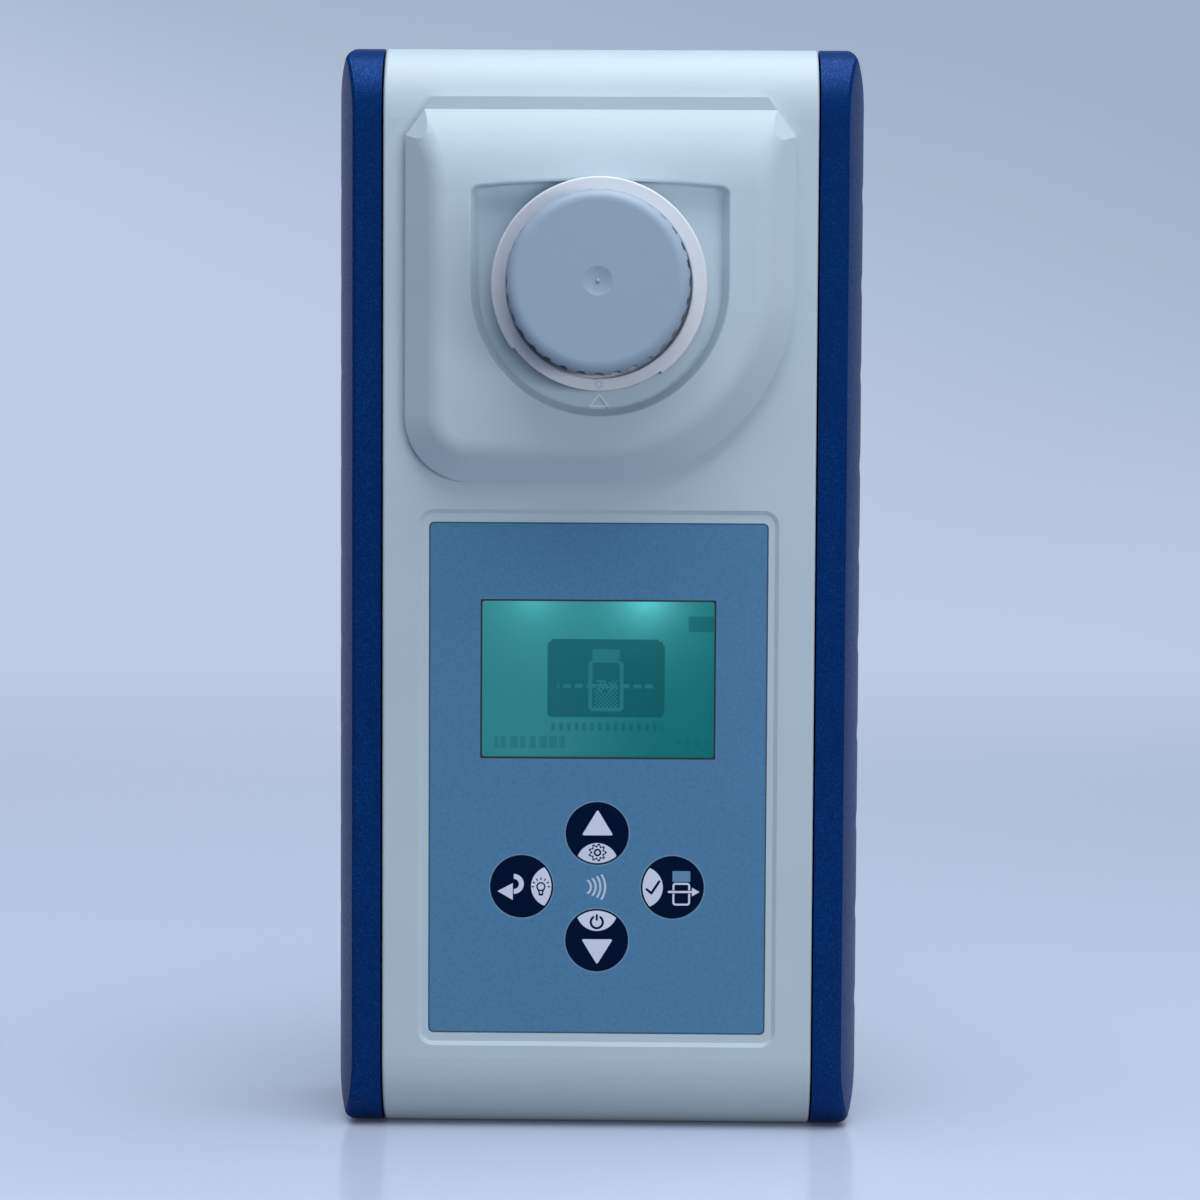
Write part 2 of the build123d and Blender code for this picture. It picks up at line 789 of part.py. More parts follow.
def make_display_frame():
    """Moulded frame that holds the cell on the board, with four snap pegs."""
    width, length = frame_size()
    outer = RectangleRounded(width + 2 * frame_wall, length + 2 * frame_wall, 0.6 * frame_wall)
    wall = slab(Pos(0, display_height) * (outer - Rectangle(width, length)), inner_front_y + seat_gap, board_y)
    pegs = [rod(x, z, peg_radius, board_y, board_back_y + peg_radius / 2) for x, z in peg_centres()]
    return wall + pegs


def make_contact_strips():
    """Two layered rubber strips between the cell's edges and the board."""
    reach = glass_width / 2 - strip_inset
    strips = []
    for side in sides:
        z = display_height + side * (glass_length + guide_length) / 4
        strips.append(block((-reach, reach), (glass_back_y + seat_gap / 2, board_y - seat_gap / 2),
                            (z - strip_width / 2, z + strip_width / 2)))
    return Part() + strips


def make_board():
    """Main circuit board, cut round the optical block."""
    outline = Pos(0, (board_bottom + board_top) / 2) * RectangleRounded(
        board_width, board_top - board_bottom, board_corner)
    outline = outline - Pos(0, well_z) * Circle(block_radius + board_well_gap)
    holes = [Pos(x, z) * Circle(board_screw_radius + head_clearance) for x, z in standoff_centres]
    holes += [Pos(x, z) * Circle(peg_radius + seat_gap) for x, z in peg_centres()]
    return slab(outline - holes, board_y, board_back_y)


def make_processor():
    """Flat square chip with four rows of legs, on the back of the board."""
    centre = Pos(processor_x, 0, board_top - processor_drop)
    half = processor_size / 2
    body = block((-half, half), (board_back_y + 2 * seat_gap, board_back_y + processor_height), (-half, half))
    parts = [chamfer(body.edges().filter_by(Axis.Y), processor_size / 20)]
    depth = (board_back_y, board_back_y + leg_thickness)
    for i in range(leg_rows):
        step = (i - (leg_rows - 1) / 2) * leg_pitch
        across = (step - leg_width / 2, step + leg_width / 2)
        for side in sides:
            reach = sorted((side * (half - 2 * seat_gap), side * (half + leg_length)))
            parts.append(block(reach, depth, across))
            parts.append(block(across, depth, reach))
    return centre * (Part() + parts)


def make_crystal():
    """Oval metal can of the clock crystal."""
    outline = Pos(crystal_x, board_top - crystal_drop) * SlotOverall(crystal_length, crystal_width)
    rim = slab(outline, board_back_y, board_back_y + crystal_flange)
    can = slab(offset(outline, -crystal_flange), board_back_y, board_back_y + crystal_height)
    return rim + fillet(can.faces().sort_by(Axis.Y)[-1].edges(), crystal_flange)


def make_buzzer():
    """Round sounder on the back of the board."""
    x, z = buzzer_x, board_top - buzzer_drop
    body = rod(x, z, buzzer_radius, board_back_y, board_back_y + buzzer_height)
    body = fillet(body.faces().sort_by(Axis.Y)[-1].edges(), buzzer_radius / 10)
    return body - rod(x, z, buzzer_radius / 6, board_back_y + 0.8 * buzzer_height,
                      board_back_y + 2 * buzzer_height)


def make_data_led():
    """Small infrared lamp behind the foil, between the keys."""
    tip = foil_seat_y + data_led_gap
    r = data_led_radius
    flange = r + data_led_flange
    profile = Polyline((0, board_y), (flange, board_y), (flange, board_y - r / 2), (r, board_y - r / 2),
                       (r, tip + r))
    dome = CenterArc((0, tip + r), r, 0, -90)
    face = make_face(profile + dome + Line(dome @ 1, (0, board_y)))
    return Pos(0, 0, pad_height) * revolve(face, Axis.Y)


def make_switches():
    """Four short-travel switches on the board, one behind each key."""
    bodies = []
    half = switch_size / 2
    for x, z in pad_centres.values():
        case = block((x - half, x + half), (board_y - switch_height + switch_rise, board_y),
                     (z - half, z + half))
        case = chamfer(case.edges().filter_by(Axis.Y), switch_size / 12)
        button = rod(x, z, switch_button_radius, plunger_end_y + pad_travel + seat_gap, board_y)
        bodies.append(case + button)
    return Part() + bodies


def make_key_pad(name):
    """One key's disc, lightly crowned, in its hole in the foil."""
    x, z = pad_centres[name]
    sphere = (pad_radius ** 2 + pad_crown ** 2) / (2 * pad_crown)
    disc = rod(x, z, pad_radius, pad_front_y, pad_back_y)
    return disc & Pos(x, pad_front_y + sphere, z) * Sphere(sphere)


def make_key_plunger(name):
    """The pin that carries a key's push through the shell to its switch."""
    x, z = pad_centres[name]
    pin = rod(x, z, plunger_radius, pad_back_y, plunger_end_y)
    return chamfer(pin.faces().sort_by(Axis.Y)[-1].edges(), 0.15 * plunger_radius)


def make_block():
    """Black optical block: the vial's bore, the flange with its ears, and the two lens barrels."""
    flange_back = flange_y + flange_thickness
    parts = [rod(0, well_z, block_radius, flange_y, block_back_y)]
    parts.append(rod(0, well_z, flange_radius, flange_y, flange_back))
    parts += [rod(*ear_centre(a), ear_radius, flange_y, flange_back) for a in ear_angles]
    long, short = ear_pitch_radius, ear_radius
    parts.append(block((-long, long), (flange_y, flange_back), (well_z - short, well_z + short)))
    parts.append(block((-short, short), (flange_y, flange_back), (well_z - long, well_z + long)))
    parts.append(cross_rod(optic_boss_radius, -optic_boss_reach, optic_boss_reach))
    parts.append(block((-flange_radius, flange_radius), (flange_y, light_y),
                       (well_z - block_rib / 2, well_z + block_rib / 2)))
    body = Part() + parts
    body = body - rod(0, well_z, bore_radius, flange_y - 1, block_floor_y)
    body = body - cross_rod(eye_bore, -optic_boss_reach, optic_boss_reach)
    for side in sides:
        span = sorted((side * lens_seat, side * (optic_boss_reach + 1)))
        body = body - cross_rod(optic_radius + optic_clearance, *span)
    body = body - [rod(*ear_centre(a), board_screw_radius + head_clearance, flange_y - 1, 0)
                   for a in ear_angles]
    half = seal_section + seal_squeeze
    groove = tube(0, well_z, seal_radius + half, seal_radius - half, flange_y - 1,
                  flange_y + 2 * seal_section + seat_gap)
    return body - groove


def optic_span(side, start, length):
    """Left and right ends of a piece in a lens barrel, counted outwards from the barrel's step."""
    near = lens_seat + start
    return sorted((side * near, side * (near + length)))


def make_chamber_windows():
    """Two round glass windows beside the bore."""
    return Part() + [cross_rod(optic_radius, *optic_span(s, seat_gap, chamber_window_thickness))
                     for s in sides]


def make_filter():
    """Interference filter in front of the detector."""
    body = cross_rod(optic_radius, *optic_span(1, 2 * seat_gap + chamber_window_thickness, filter_thickness))
    return chamfer(body.edges().filter_by(GeomType.CIRCLE), filter_thickness / 12)


def lead_heights():
    """Heights of an optical part's two leads."""
    return well_z - lead_spread, well_z + lead_spread


def make_source_led():
    """Domed lamp at the left of the bore, with its flange and legs."""
    board_x = -optic_boss_reach
    neck = -(lens_seat + chamber_window_thickness + optic_step + lamp_radius)
    body = cross_rod(lamp_radius, board_x + 1, neck)
    dome = Pos(neck, light_y, well_z) * Sphere(lamp_radius)
    rim = cross_rod((lamp_radius + optic_radius) / 2, board_x + 1, board_x + 2)
    legs = [cross_rod(lead_radius, board_x - optic_board_thickness - lead_radius, board_x + 1.5, light_y, z)
            for z in lead_heights()]
    return body + dome + rim + legs


def make_photodiode():
    """Metal-can detector at the right of the bore, with its window and legs."""
    start = lens_seat + chamber_window_thickness + filter_thickness + 3 * seat_gap
    end = optic_boss_reach - 1
    can = cross_rod(0.9 * detector_radius, start, end)
    rim = cross_rod(detector_radius, end - 1, end)
    mouth = cross_rod(detector_radius / 2, start, start + 8 * seat_gap)
    tip = optic_boss_reach + optic_board_thickness + lead_radius
    legs = [cross_rod(lead_radius, end - 1, tip, light_y, z) for z in lead_heights()]
    return can + rim - mouth + legs


def make_optic_board(side):
    """Small board on the end of a lens barrel, with holes for the legs."""
    near = optic_boss_reach
    far = near + optic_board_thickness
    x = sorted((side * near, side * far))
    plate = block(x, (light_y - optic_board_width / 2, light_y + optic_board_width / 2),
                  (well_z - optic_board_height / 2, well_z + optic_board_height / 2))
    plate = chamfer(plate.edges().filter_by(Axis.X), 1)
    return plate - [cross_rod(lead_radius + lead_hole_gap, *x, light_y, z) for z in lead_heights()]


def make_flex():
    """Two bent film leads from the optical boards to the back of the main board."""
    leads = []
    inner = optic_boss_reach + optic_board_thickness + seat_gap
    outer = inner + flex_thickness
    low = board_top - flex_drop
    high = well_z - optic_board_height / 2 + flex_width
    for side in sides:
        upright = block(sorted((side * inner, side * outer)), (board_back_y, board_back_y + flex_width),
                        (low, high))
        foot = block(sorted((side * (inner - flex_foot), side * outer)),
                     (board_back_y, board_back_y + flex_thickness), (low, low + flex_width))
        leads.append(upright + foot)
    return Part() + leads


def make_chamber_seal():
    """Round cord seal in the flange's groove."""
    plane = Plane.XZ.offset(-(flange_y + seal_section))
    return plane * (Pos(0, well_z) * Torus(seal_radius, seal_section))


def screw(x, z, radius, head_radius, head_height, seat, tip):
    """A slotted screw along the depth, driven from behind: its head stands behind its seat."""
    shaft = rod(x, z, radius, tip, seat + head_height / 2)
    shaft = chamfer(shaft.faces().sort_by(Axis.Y)[0].edges(), radius / 3)
    head = rod(x, z, head_radius, seat, seat + head_height)
    head = fillet(head.faces().sort_by(Axis.Y)[-1].edges(), head_height / 3)
    half_slot = head_radius / 7
    slot = block((x - head_radius, x + head_radius), (seat + head_height / 2, seat + 2 * head_height),
                 (z - half_slot, z + half_slot))
    return shaft + head - slot


def make_case_screws():
    """Four screws that draw the rear shell onto the front shell."""
    seat = back_y - case_head_depth + seat_gap
    return Part() + [screw(x, z, case_screw_radius, case_head_radius, case_head_height, seat,
                           -case_screw_reach) for x, z in boss_centres]


def make_board_screws():
    """Four screws that hold the main board on its posts."""
    return Part() + [screw(x, z, board_screw_radius, board_head_radius, board_head_height, board_back_y,
                           board_y - board_screw_reach) for x, z in standoff_centres]


def make_block_screws():
    """Four screws that hold the optical block under the head."""
    return Part() + [screw(*ear_centre(a), board_screw_radius, ear_head_radius, ear_head_height,
                           flange_y + flange_thickness, flange_y - ear_screw_reach) for a in ear_angles]


def insert(x, z, front, bore):
    """A brass thread insert: two bands with a waist between them."""
    body = tube(x, z, insert_radius - seat_gap / 2, bore, front, front + insert_length)
    waist = tube(x, z, insert_radius + 1, insert_radius - insert_waist, front + 0.42 * insert_length,
                 front + 0.58 * insert_length)
    return body - waist


def make_inserts():
    """Brass inserts for the four case screws and the two cover screws."""
    front = -insert_length - seat_gap
    parts = [insert(x, z, front, case_screw_radius + seat_gap) for x, z in boss_centres]
    parts += [insert(0, z, cover_insert_y, cover_screw_radius + seat_gap) for z in cover_screw_heights]
    return Part() + parts


def make_cells():
    """Four small round cells, laid in turn with their nubs up and down."""
    cells = []
    low = bay_bottom + contact_thickness + 2 * seat_gap
    base_up = (Align.CENTER, Align.CENTER, Align.MIN)
    for i, x in enumerate(cell_centres):
        nub_up = i % 2 == 0
        base = low + (spring_length if nub_up else nub_length) + seat_gap
        body = Pos(x, cell_y, base) * Cylinder(cell_radius, cell_length, align=base_up)
        body = fillet(body.edges().filter_by(GeomType.CIRCLE), cell_round)
        nub_z = base + cell_length if nub_up else base - nub_length
        nub = Pos(x, cell_y, nub_z) * Cylinder(nub_radius, nub_length, align=base_up)
        cells.append(body + nub)
    return Part() + cells


def make_springs():
    """Four tapering coil springs at the cells' flat ends."""
    springs = []
    low = bay_bottom + contact_thickness + seat_gap
    high = bay_top - contact_thickness - seat_gap
    height = spring_length - 2 * spring_wire - seat_gap
    for i, x in enumerate(cell_centres):
        at_bottom = i % 2 == 0
        direction = (0, 0, 1) if at_bottom else (0, 0, -1)
        start = low + spring_wire if at_bottom else high - spring_wire
        path = Helix(height / spring_turns, height, cell_radius - spring_setback,
                     center=(x, cell_y, start), direction=direction, cone_angle=spring_taper)
        section = Plane(path @ 0, z_dir=path % 0) * Circle(spring_wire)
        springs.append(sweep(section, path, is_frenet=True))
    return Part() + springs


def make_contacts():
    """Sprung-steel plates that join the cells in series."""
    y = (cell_y - contact_half_depth, cell_y + contact_half_depth)
    low_z = (bay_bottom + seat_gap, bay_bottom + seat_gap + contact_thickness)
    high_z = (bay_top - seat_gap - contact_thickness, bay_top - seat_gap)
    first, second, third, fourth = cell_centres
    half = contact_half_width
    plates = [
        block((first - half, second + half), y, low_z),
        block((third - half, fourth + half), y, low_z),
        block((first - half, first + half), y, high_z),
        block((second - half, third + half), y, high_z),
        block((fourth - half, fourth + half), y, high_z),
    ]
    return Part() + [chamfer(p.edges().filter_by(Axis.Z), contact_half_depth / 5) for p in plates]


def make_cover_seal():
    """Loop seal in the bay's wall under the battery cover."""
    return slab(cover_seal_face(cover_seal_width), cover_ledge_y - cover_seal_height,
                cover_ledge_y - seat_gap / 2)


def make_cover():
    """Battery cover with its screw bosses and the ribs that lie between the cells."""
    inner = cover_ledge_y + seat_gap
    plate = slab(cover_face(), inner, back_y)
    plate = chamfer(plate.faces().sort_by(Axis.Y)[-1].edges(), cover_edge_bevel)
    for z in cover_screw_heights:
        plate = plate + rod(0, z, cover_boss_radius, cover_ledge_y - cover_boss_depth,
                            back_y - cover_edge_bevel)
        plate = plate - rod(0, z, cover_head_radius + head_clearance, cover_ledge_y, back_y)
        plate = plate - rod(0, z, cover_screw_radius + thread_clearance, 0, back_y)
    root = inner + 2 * seat_gap
    rib_z = (bay_bottom + cover_rib_inset, bay_top - cover_rib_inset)
    ribs = [block((x - cover_rib / 2, x + cover_rib / 2), (inner_back_y - cover_rib, root), rib_z)
            for x in (-cell_pitch, 0, cell_pitch)]
    web_x = bay_half_width - cover_rib
    web_z = (bay_bottom + cover_web_inset, (bay_bottom + bay_top) / 2, bay_top - cover_web_inset)
    webs = [block((-web_x, web_x), (inner_back_y + seat_gap, root), (z - cover_rib / 2, z + cover_rib / 2))
            for z in web_z]
    return plate + ribs + webs


def make_cover_screw(index):
    """One captive coin-slot screw of the battery cover."""
    return screw(0, cover_screw_heights[index], cover_screw_radius, cover_head_radius, cover_head_height,
                 cover_ledge_y + seat_gap, cover_ledge_y - cover_screw_reach)


def turned(*lines):
    """A closed outline (radius, depth) turned about the vial's axis."""
    return Pos(0, 0, well_z) * revolve(make_face(Curve() + list(lines)), Axis.Y)


def make_collar():
    """White light-shield ring on the vial's shoulder: lip inside, stepped rim outside."""
    lip_radius = neck_radius + neck_gap
    ring = turned(Polyline(
        (collar_bore, collar_top_y),
        (collar_radius, collar_top_y),
        (collar_radius, collar_foot_y),
        (bore_radius, collar_foot_y),
        (bore_radius, lip_back_y),
        (lip_radius, lip_back_y),
        (lip_radius, lip_front_y),
        (collar_bore, lip_front_y),
        close=True,
    ))
    rim = ring.edges().filter_by(lambda e: abs(e.center().Y - collar_top_y) < 0.01)
    ring = fillet(rim, collar_edge_radius)
    band = CenterArc((0, 0), collar_radius - collar_step, collar_step_start,
                     collar_step_end - collar_step_start)
    far = CenterArc((0, 0), collar_radius + 1, collar_step_end, collar_step_start - collar_step_end)
    sector = make_face(band + Line(band @ 1, far @ 0) + far + Line(far @ 1, band @ 0))
    return ring - slab(Pos(0, well_z) * sector, collar_top_y - 1, collar_foot_y + 1)


def make_vial():
    """Round glass vial: thick foot, straight wall, shoulder and threaded neck."""
    r = vial_radius
    inner = r - vial_wall
    bottom = vial_bottom_y
    floor = bottom - vial_base
    heel = r - foot_round
    under = shoulder_y + vial_wall + neck_gap
    punt = Polyline((0, bottom - vial_punt), (heel - 2 * vial_punt, bottom - vial_punt), (heel - vial_punt, bottom),
                    (heel, bottom))
    foot = CenterArc((heel, bottom - foot_round), foot_round, 90, -90)
    bend = CenterArc((r - shoulder_round, shoulder_y + shoulder_round), shoulder_round, 0, -90)
    neck = Polyline(
        bend @ 1,
        (neck_radius, shoulder_y),
        (neck_radius, rim_y),
        (neck_bore, rim_y),
        (neck_bore, under - vial_wall),
        (inner, under + vial_wall),
        (inner, floor - foot_round),
        (inner - foot_round, floor),
        (0, floor),
        (0, bottom - vial_punt),
    )
    glass = turned(punt, foot, Line(foot @ 1, bend @ 0), bend, neck)
    for i in range(2):
        bead = Rot(90, 0, 0) * Torus(neck_radius, bead_radius)
        glass = glass + Pos(0, rim_y + bead_drop + i * bead_pitch, well_z) * bead
    return glass


def make_liner():
    """Soft sealing disc inside the cap."""
    return rod(0, well_z, cap_bore - 6 * seat_gap, liner_front_y, liner_front_y + liner_thickness)


def make_cap():
    """Screw cap: fluted skirt, rounded edge, flat top with a small moulded dimple."""
    r = cap_radius
    edge = CenterArc((r - cap_round, cap_top_y + cap_round), cap_round, -90, 90)
    ceiling = cap_top_y + cap_top_wall
    skirt = Polyline(edge @ 1, (r, cap_foot_y), (cap_bore, cap_foot_y), (cap_bore, ceiling), (0, ceiling),
                     (0, cap_top_y), edge @ 0)
    cap = turned(edge, skirt)
    flute = (flute_width ** 2 / 4 + flute_depth ** 2) / (2 * flute_depth)
    reach = r + flute - flute_depth
    flutes = []
    for i in range(cap_flutes):
        turn = 2 * math.pi * i / cap_flutes
        flutes.append(rod(reach * math.cos(turn), well_z + reach * math.sin(turn), flute,
                          cap_top_y + cap_round / 2, cap_foot_y + 1))
    cap = cap - flutes
    bowl = (dimple_radius ** 2 + dimple_depth ** 2) / (2 * dimple_depth)
    cap = cap - Pos(0, cap_top_y - bowl + dimple_depth, well_z) * Sphere(bowl)
    return cap + Pos(0, cap_top_y + dimple_depth, well_z) * Sphere(pip_radius)


def build_parts():
    """Every piece by its node name."""
    parts = {
        "front_shell": make_front_shell(),
        "rear_shell": make_rear_shell(),
        "left_grip": make_grip(-1),
        "right_grip": make_grip(1),
        "shell_gasket": make_gasket(),
        "faceplate": make_faceplate(),
        "display_window": make_pane(),
        "lcd_glass": make_glass(),
        "light_guide": make_light_guide(),
        "backlight_leds": make_backlight_leds(),
        "display_frame": make_display_frame(),
        "lcd_contact_strips": make_contact_strips(),
        "main_board": make_board(),
        "processor_chip": make_processor(),
        "clock_crystal": make_crystal(),
        "buzzer": make_buzzer(),
        "data_led": make_data_led(),
        "key_switches": make_switches(),
        "optical_block": make_block(),
        "chamber_windows": make_chamber_windows(),
        "light_filter": make_filter(),
        "source_led": make_source_led(),
        "photodiode": make_photodiode(),
        "source_board": make_optic_board(-1),
        "detector_board": make_optic_board(1),
        "sensor_flex": make_flex(),
        "chamber_seal": make_chamber_seal(),
        "case_screws": make_case_screws(),
        "board_screws": make_board_screws(),
        "block_screws": make_block_screws(),
        "thread_inserts": make_inserts(),
        "battery_cells": make_cells(),
        "battery_springs": make_springs(),
        "battery_contacts": make_contacts(),
        "cover_seal": make_cover_seal(),
        "battery_cover": make_cover(),
        "cover_screw_lower": make_cover_screw(0),
        "cover_screw_upper": make_cover_screw(1),
        "light_collar": make_collar(),
        "vial": make_vial(),
        "cap_liner": make_liner(),
        "vial_cap": make_cap(),
    }
    for name in pad_centres:
        parts["key_" + name] = make_key_pad(name)
        parts["key_" + name + "_plunger"] = make_key_plunger(name)
    return parts


def main():
    """Write every piece to its own file."""
    os.makedirs("parts", exist_ok=True)
    for node, solid in build_parts().items():
        export_step(solid, os.path.join("parts", node + ".step"))


if __name__ == "__main__":
    main()
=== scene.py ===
import math

import bmesh
import bpy
from bpy.props import FloatProperty, FloatVectorProperty, PointerProperty
from mathutils import Matrix, Vector


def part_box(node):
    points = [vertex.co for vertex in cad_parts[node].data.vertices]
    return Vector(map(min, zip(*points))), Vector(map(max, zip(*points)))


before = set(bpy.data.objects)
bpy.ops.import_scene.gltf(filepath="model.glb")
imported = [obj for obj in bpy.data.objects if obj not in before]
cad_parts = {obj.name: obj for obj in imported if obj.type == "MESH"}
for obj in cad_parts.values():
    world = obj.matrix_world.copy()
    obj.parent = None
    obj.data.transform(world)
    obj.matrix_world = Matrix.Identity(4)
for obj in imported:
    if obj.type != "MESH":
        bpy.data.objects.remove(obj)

bl_info = {
    "name": "Water test photometer",
    "version": (1, 0, 0),
    "blender": (4, 5, 0),
    "location": "3D View > Sidebar > Photometer",
    "description": "Finishes, prints, stage and camera for a hand-held photometer for water tests",
    "category": "Object",
}

# Where the camera stood for the photograph, how it leaned, in degrees, and its lens in millimetres
CAMERA_PLACE = (0.0062, -0.4485, 0.1011)
CAMERA_YAW, CAMERA_PITCH, CAMERA_ROLL = -0.79, -3.25, 0.31
CAMERA_LENS = 91.53
CAMERA_SENSOR = 36.0

# The soft lights: place, aim, width and height in metres, and the tint of both
TOP_BOX = ((0.1, -0.2, 0.85), (0.0, 0.0, 0.08), 0.8, 0.7)
FRONT_BOX = ((0.42, -0.95, 0.08), (0.0, 0.0, 0.1), 0.7, 0.14)
LAMP_TINT = (1.0, 0.98, 0.95)

# The floor in metres: its front edge, where it bends up, the bend's radius, half its width, and its wall
FLOOR_FRONT, FLOOR_BACK, FLOOR_BEND, FLOOR_HALF, WALL_HEIGHT = -2.2, 1.1, 0.7, 3.0, 2.4

# Sizes in millimetres: the printed rings round the keys, the painted shadow line along the foil's edge and
# its corner, the display's opening and the dark printed rim round it
RING_RADIUS = 4.68
EDGE_SHADOW = 0.16
FOIL_CORNER = 0.75
OPENING = (33.1, 22.3)
OPENING_RIM = 0.5

# The mark in the sink, in millimetres: its gap below the collar, half its foot, its height and half the
# width of the painted highlight along its edge
MARK_GAP, MARK_HALF, MARK_HEIGHT, MARK_HIGHLIGHT = 0.45, 1.3, 1.65, 0.09


def tone(red, green, blue):
    """A colour from screen values of 0 to 255, in the linear values that a shader takes."""
    def linear(value):
        value /= 255
        return value / 12.92 if value <= 0.04045 else ((value + 0.055) / 1.055) ** 2.4
    return (linear(red), linear(green), linear(blue), 1.0)


def colour(name, text, red, green, blue):
    """A colour property that the user can change."""
    return FloatVectorProperty(name=name, description=text, subtype="COLOR", size=4, min=0, max=1,
                               default=tone(red, green, blue))


def length(name, text, size):
    """A length property in metres."""
    return FloatProperty(name=name, description=text, subtype="DISTANCE", unit="LENGTH", min=0, precision=5,
                         default=size)


def share(name, text, size):
    """A property between 0 and 1."""
    return FloatProperty(name=name, description=text, subtype="FACTOR", min=0, max=1, default=size)


class Wire:
    """An output of a shader node that takes part in Python sums. Each sum adds its Math node."""

    def __init__(self, finish, socket):
        self.finish = finish
        self.socket = socket

    def __add__(self, other):
        return self.finish.math("ADD", self, other)

    __radd__ = __add__

    def __sub__(self, other):
        return self.finish.math("SUBTRACT", self, other)

    def __rsub__(self, other):
        return self.finish.math("SUBTRACT", other, self)

    def __mul__(self, other):
        return self.finish.math("MULTIPLY", self, other)

    __rmul__ = __mul__

    def __truediv__(self, other):
        return self.finish.math("DIVIDE", self, other)

    def __rtruediv__(self, other):
        return self.finish.math("DIVIDE", other, self)

    def __pow__(self, other):
        return self.finish.math("POWER", self, other)

    def __mod__(self, other):
        return self.finish.math("FLOORED_MODULO", self, other)

    def __neg__(self):
        return self.finish.math("MULTIPLY", self, -1.0)

    def __abs__(self):
        return self.finish.math("ABSOLUTE", self)

    def __lt__(self, other):
        return self.finish.math("LESS_THAN", self, other)

    def __gt__(self, other):
        return self.finish.math("GREATER_THAN", self, other)

    def __or__(self, other):
        """The lower of two distances: both shapes together."""
        return self.finish.math("MINIMUM", self, other)

    def __and__(self, other):
        """The higher of two distances: what two shapes share."""
        return self.finish.math("MAXIMUM", self, other)


class Finish:
    """A material while it is made."""

    def __init__(self, name):
        self.material = bpy.data.materials.new(name)
        self.material.use_nodes = True
        self.tree = self.material.node_tree
        self.tree.nodes.clear()

    def node(self, kind, settings=None, sockets=None, output=0):
        """Adds a node: its settings first, then the values and wires of its sockets."""
        node = self.tree.nodes.new(kind)
        for name, value in (settings or {}).items():
            setattr(node, name, value)
        for name, value in (sockets or {}).items():
            if isinstance(value, Wire):
                self.tree.links.new(value.socket, node.inputs[name])
            else:
                node.inputs[name].default_value = value
        if isinstance(output, tuple):
            return [Wire(self, node.outputs[name]) for name in output]
        return Wire(self, node.outputs[output])

    def math(self, operation, *values):
        return self.node("ShaderNodeMath", {"operation": operation}, dict(enumerate(values)))

    def clamped(self, value):
        """A value held between 0 and 1."""
        return self.node("ShaderNodeClamp", {}, {"Value": value})

    def smooth(self, value, low, high):
        """0 below low and 1 above high, with a soft step between."""
        return self.node("ShaderNodeMapRange", {"interpolation_type": "SMOOTHSTEP"},
                         {"Value": value, "From Min": low, "From Max": high})

    def vector(self, operation, first, second=None, output=0, **sockets):
        values = {0: first, **sockets}
        if second is not None:
            values[1] = second
        return self.node("ShaderNodeVectorMath", {"operation": operation}, values, output)

    def blend(self, share, first, second):
        """A colour between two: the first where share is 0."""
        return self.node("ShaderNodeMix", {"data_type": "RGBA"}, {0: share, 6: first, 7: second}, 2)

    def place(self, centre=(0.0, 0.0, 0.0)):
        """Where a point is on the object, in millimetres from a centre in millimetres."""
        spot = self.node("ShaderNodeTexCoord", {}, {}, "Object")
        spot = self.vector("SCALE", spot, Scale=1000.0)
        return self.vector("SUBTRACT", spot, centre)

    def parts(self, vector):
        """The three parts of a vector."""
        return self.node("ShaderNodeSeparateXYZ", {}, {0: vector}, ("X", "Y", "Z"))

    def stretched(self, place, x, y, z):
        """A place drawn out along the axes, for brushed and turned surfaces."""
        return self.vector("MULTIPLY", place, (x, y, z))

    def noise(self, place, size, detail=2.0, rough=0.5):
        """Soft noise of 0 to 1 whose blobs are about size millimetres."""
        return self.node("ShaderNodeTexNoise", {}, {"Vector": place, "Scale": 1.0 / size, "Detail": detail,
                                                   "Roughness": rough})

    def cells(self, place, size):
        """A random value of 0 to 1 for each cell of size millimetres."""
        found = self.node("ShaderNodeTexVoronoi", {}, {"Vector": place, "Scale": 1.0 / size}, "Color")
        return self.node("ShaderNodeSeparateColor", {}, {0: found}, "Red")

    def relief(self, height, depth, under=None):
        """A bump of 0 to depth metres, on top of another bump."""
        sockets = {"Strength": 1.0, "Distance": depth, "Height": height}
        if under is not None:
            sockets["Normal"] = under
        return self.node("ShaderNodeBump", {}, sockets, "Normal")

    def shader(self, **sockets):
        """The Principled shader, its sockets named with _ for a space."""
        named = {name.replace("_", " "): value for name, value in sockets.items()}
        return self.node("ShaderNodeBsdfPrincipled", {}, named)

    def done(self, shader):
        """Ends the material in its shader."""
        end = self.tree.nodes.new("ShaderNodeOutputMaterial")
        self.tree.links.new(shader.socket, end.inputs["Surface"])
        return self.material


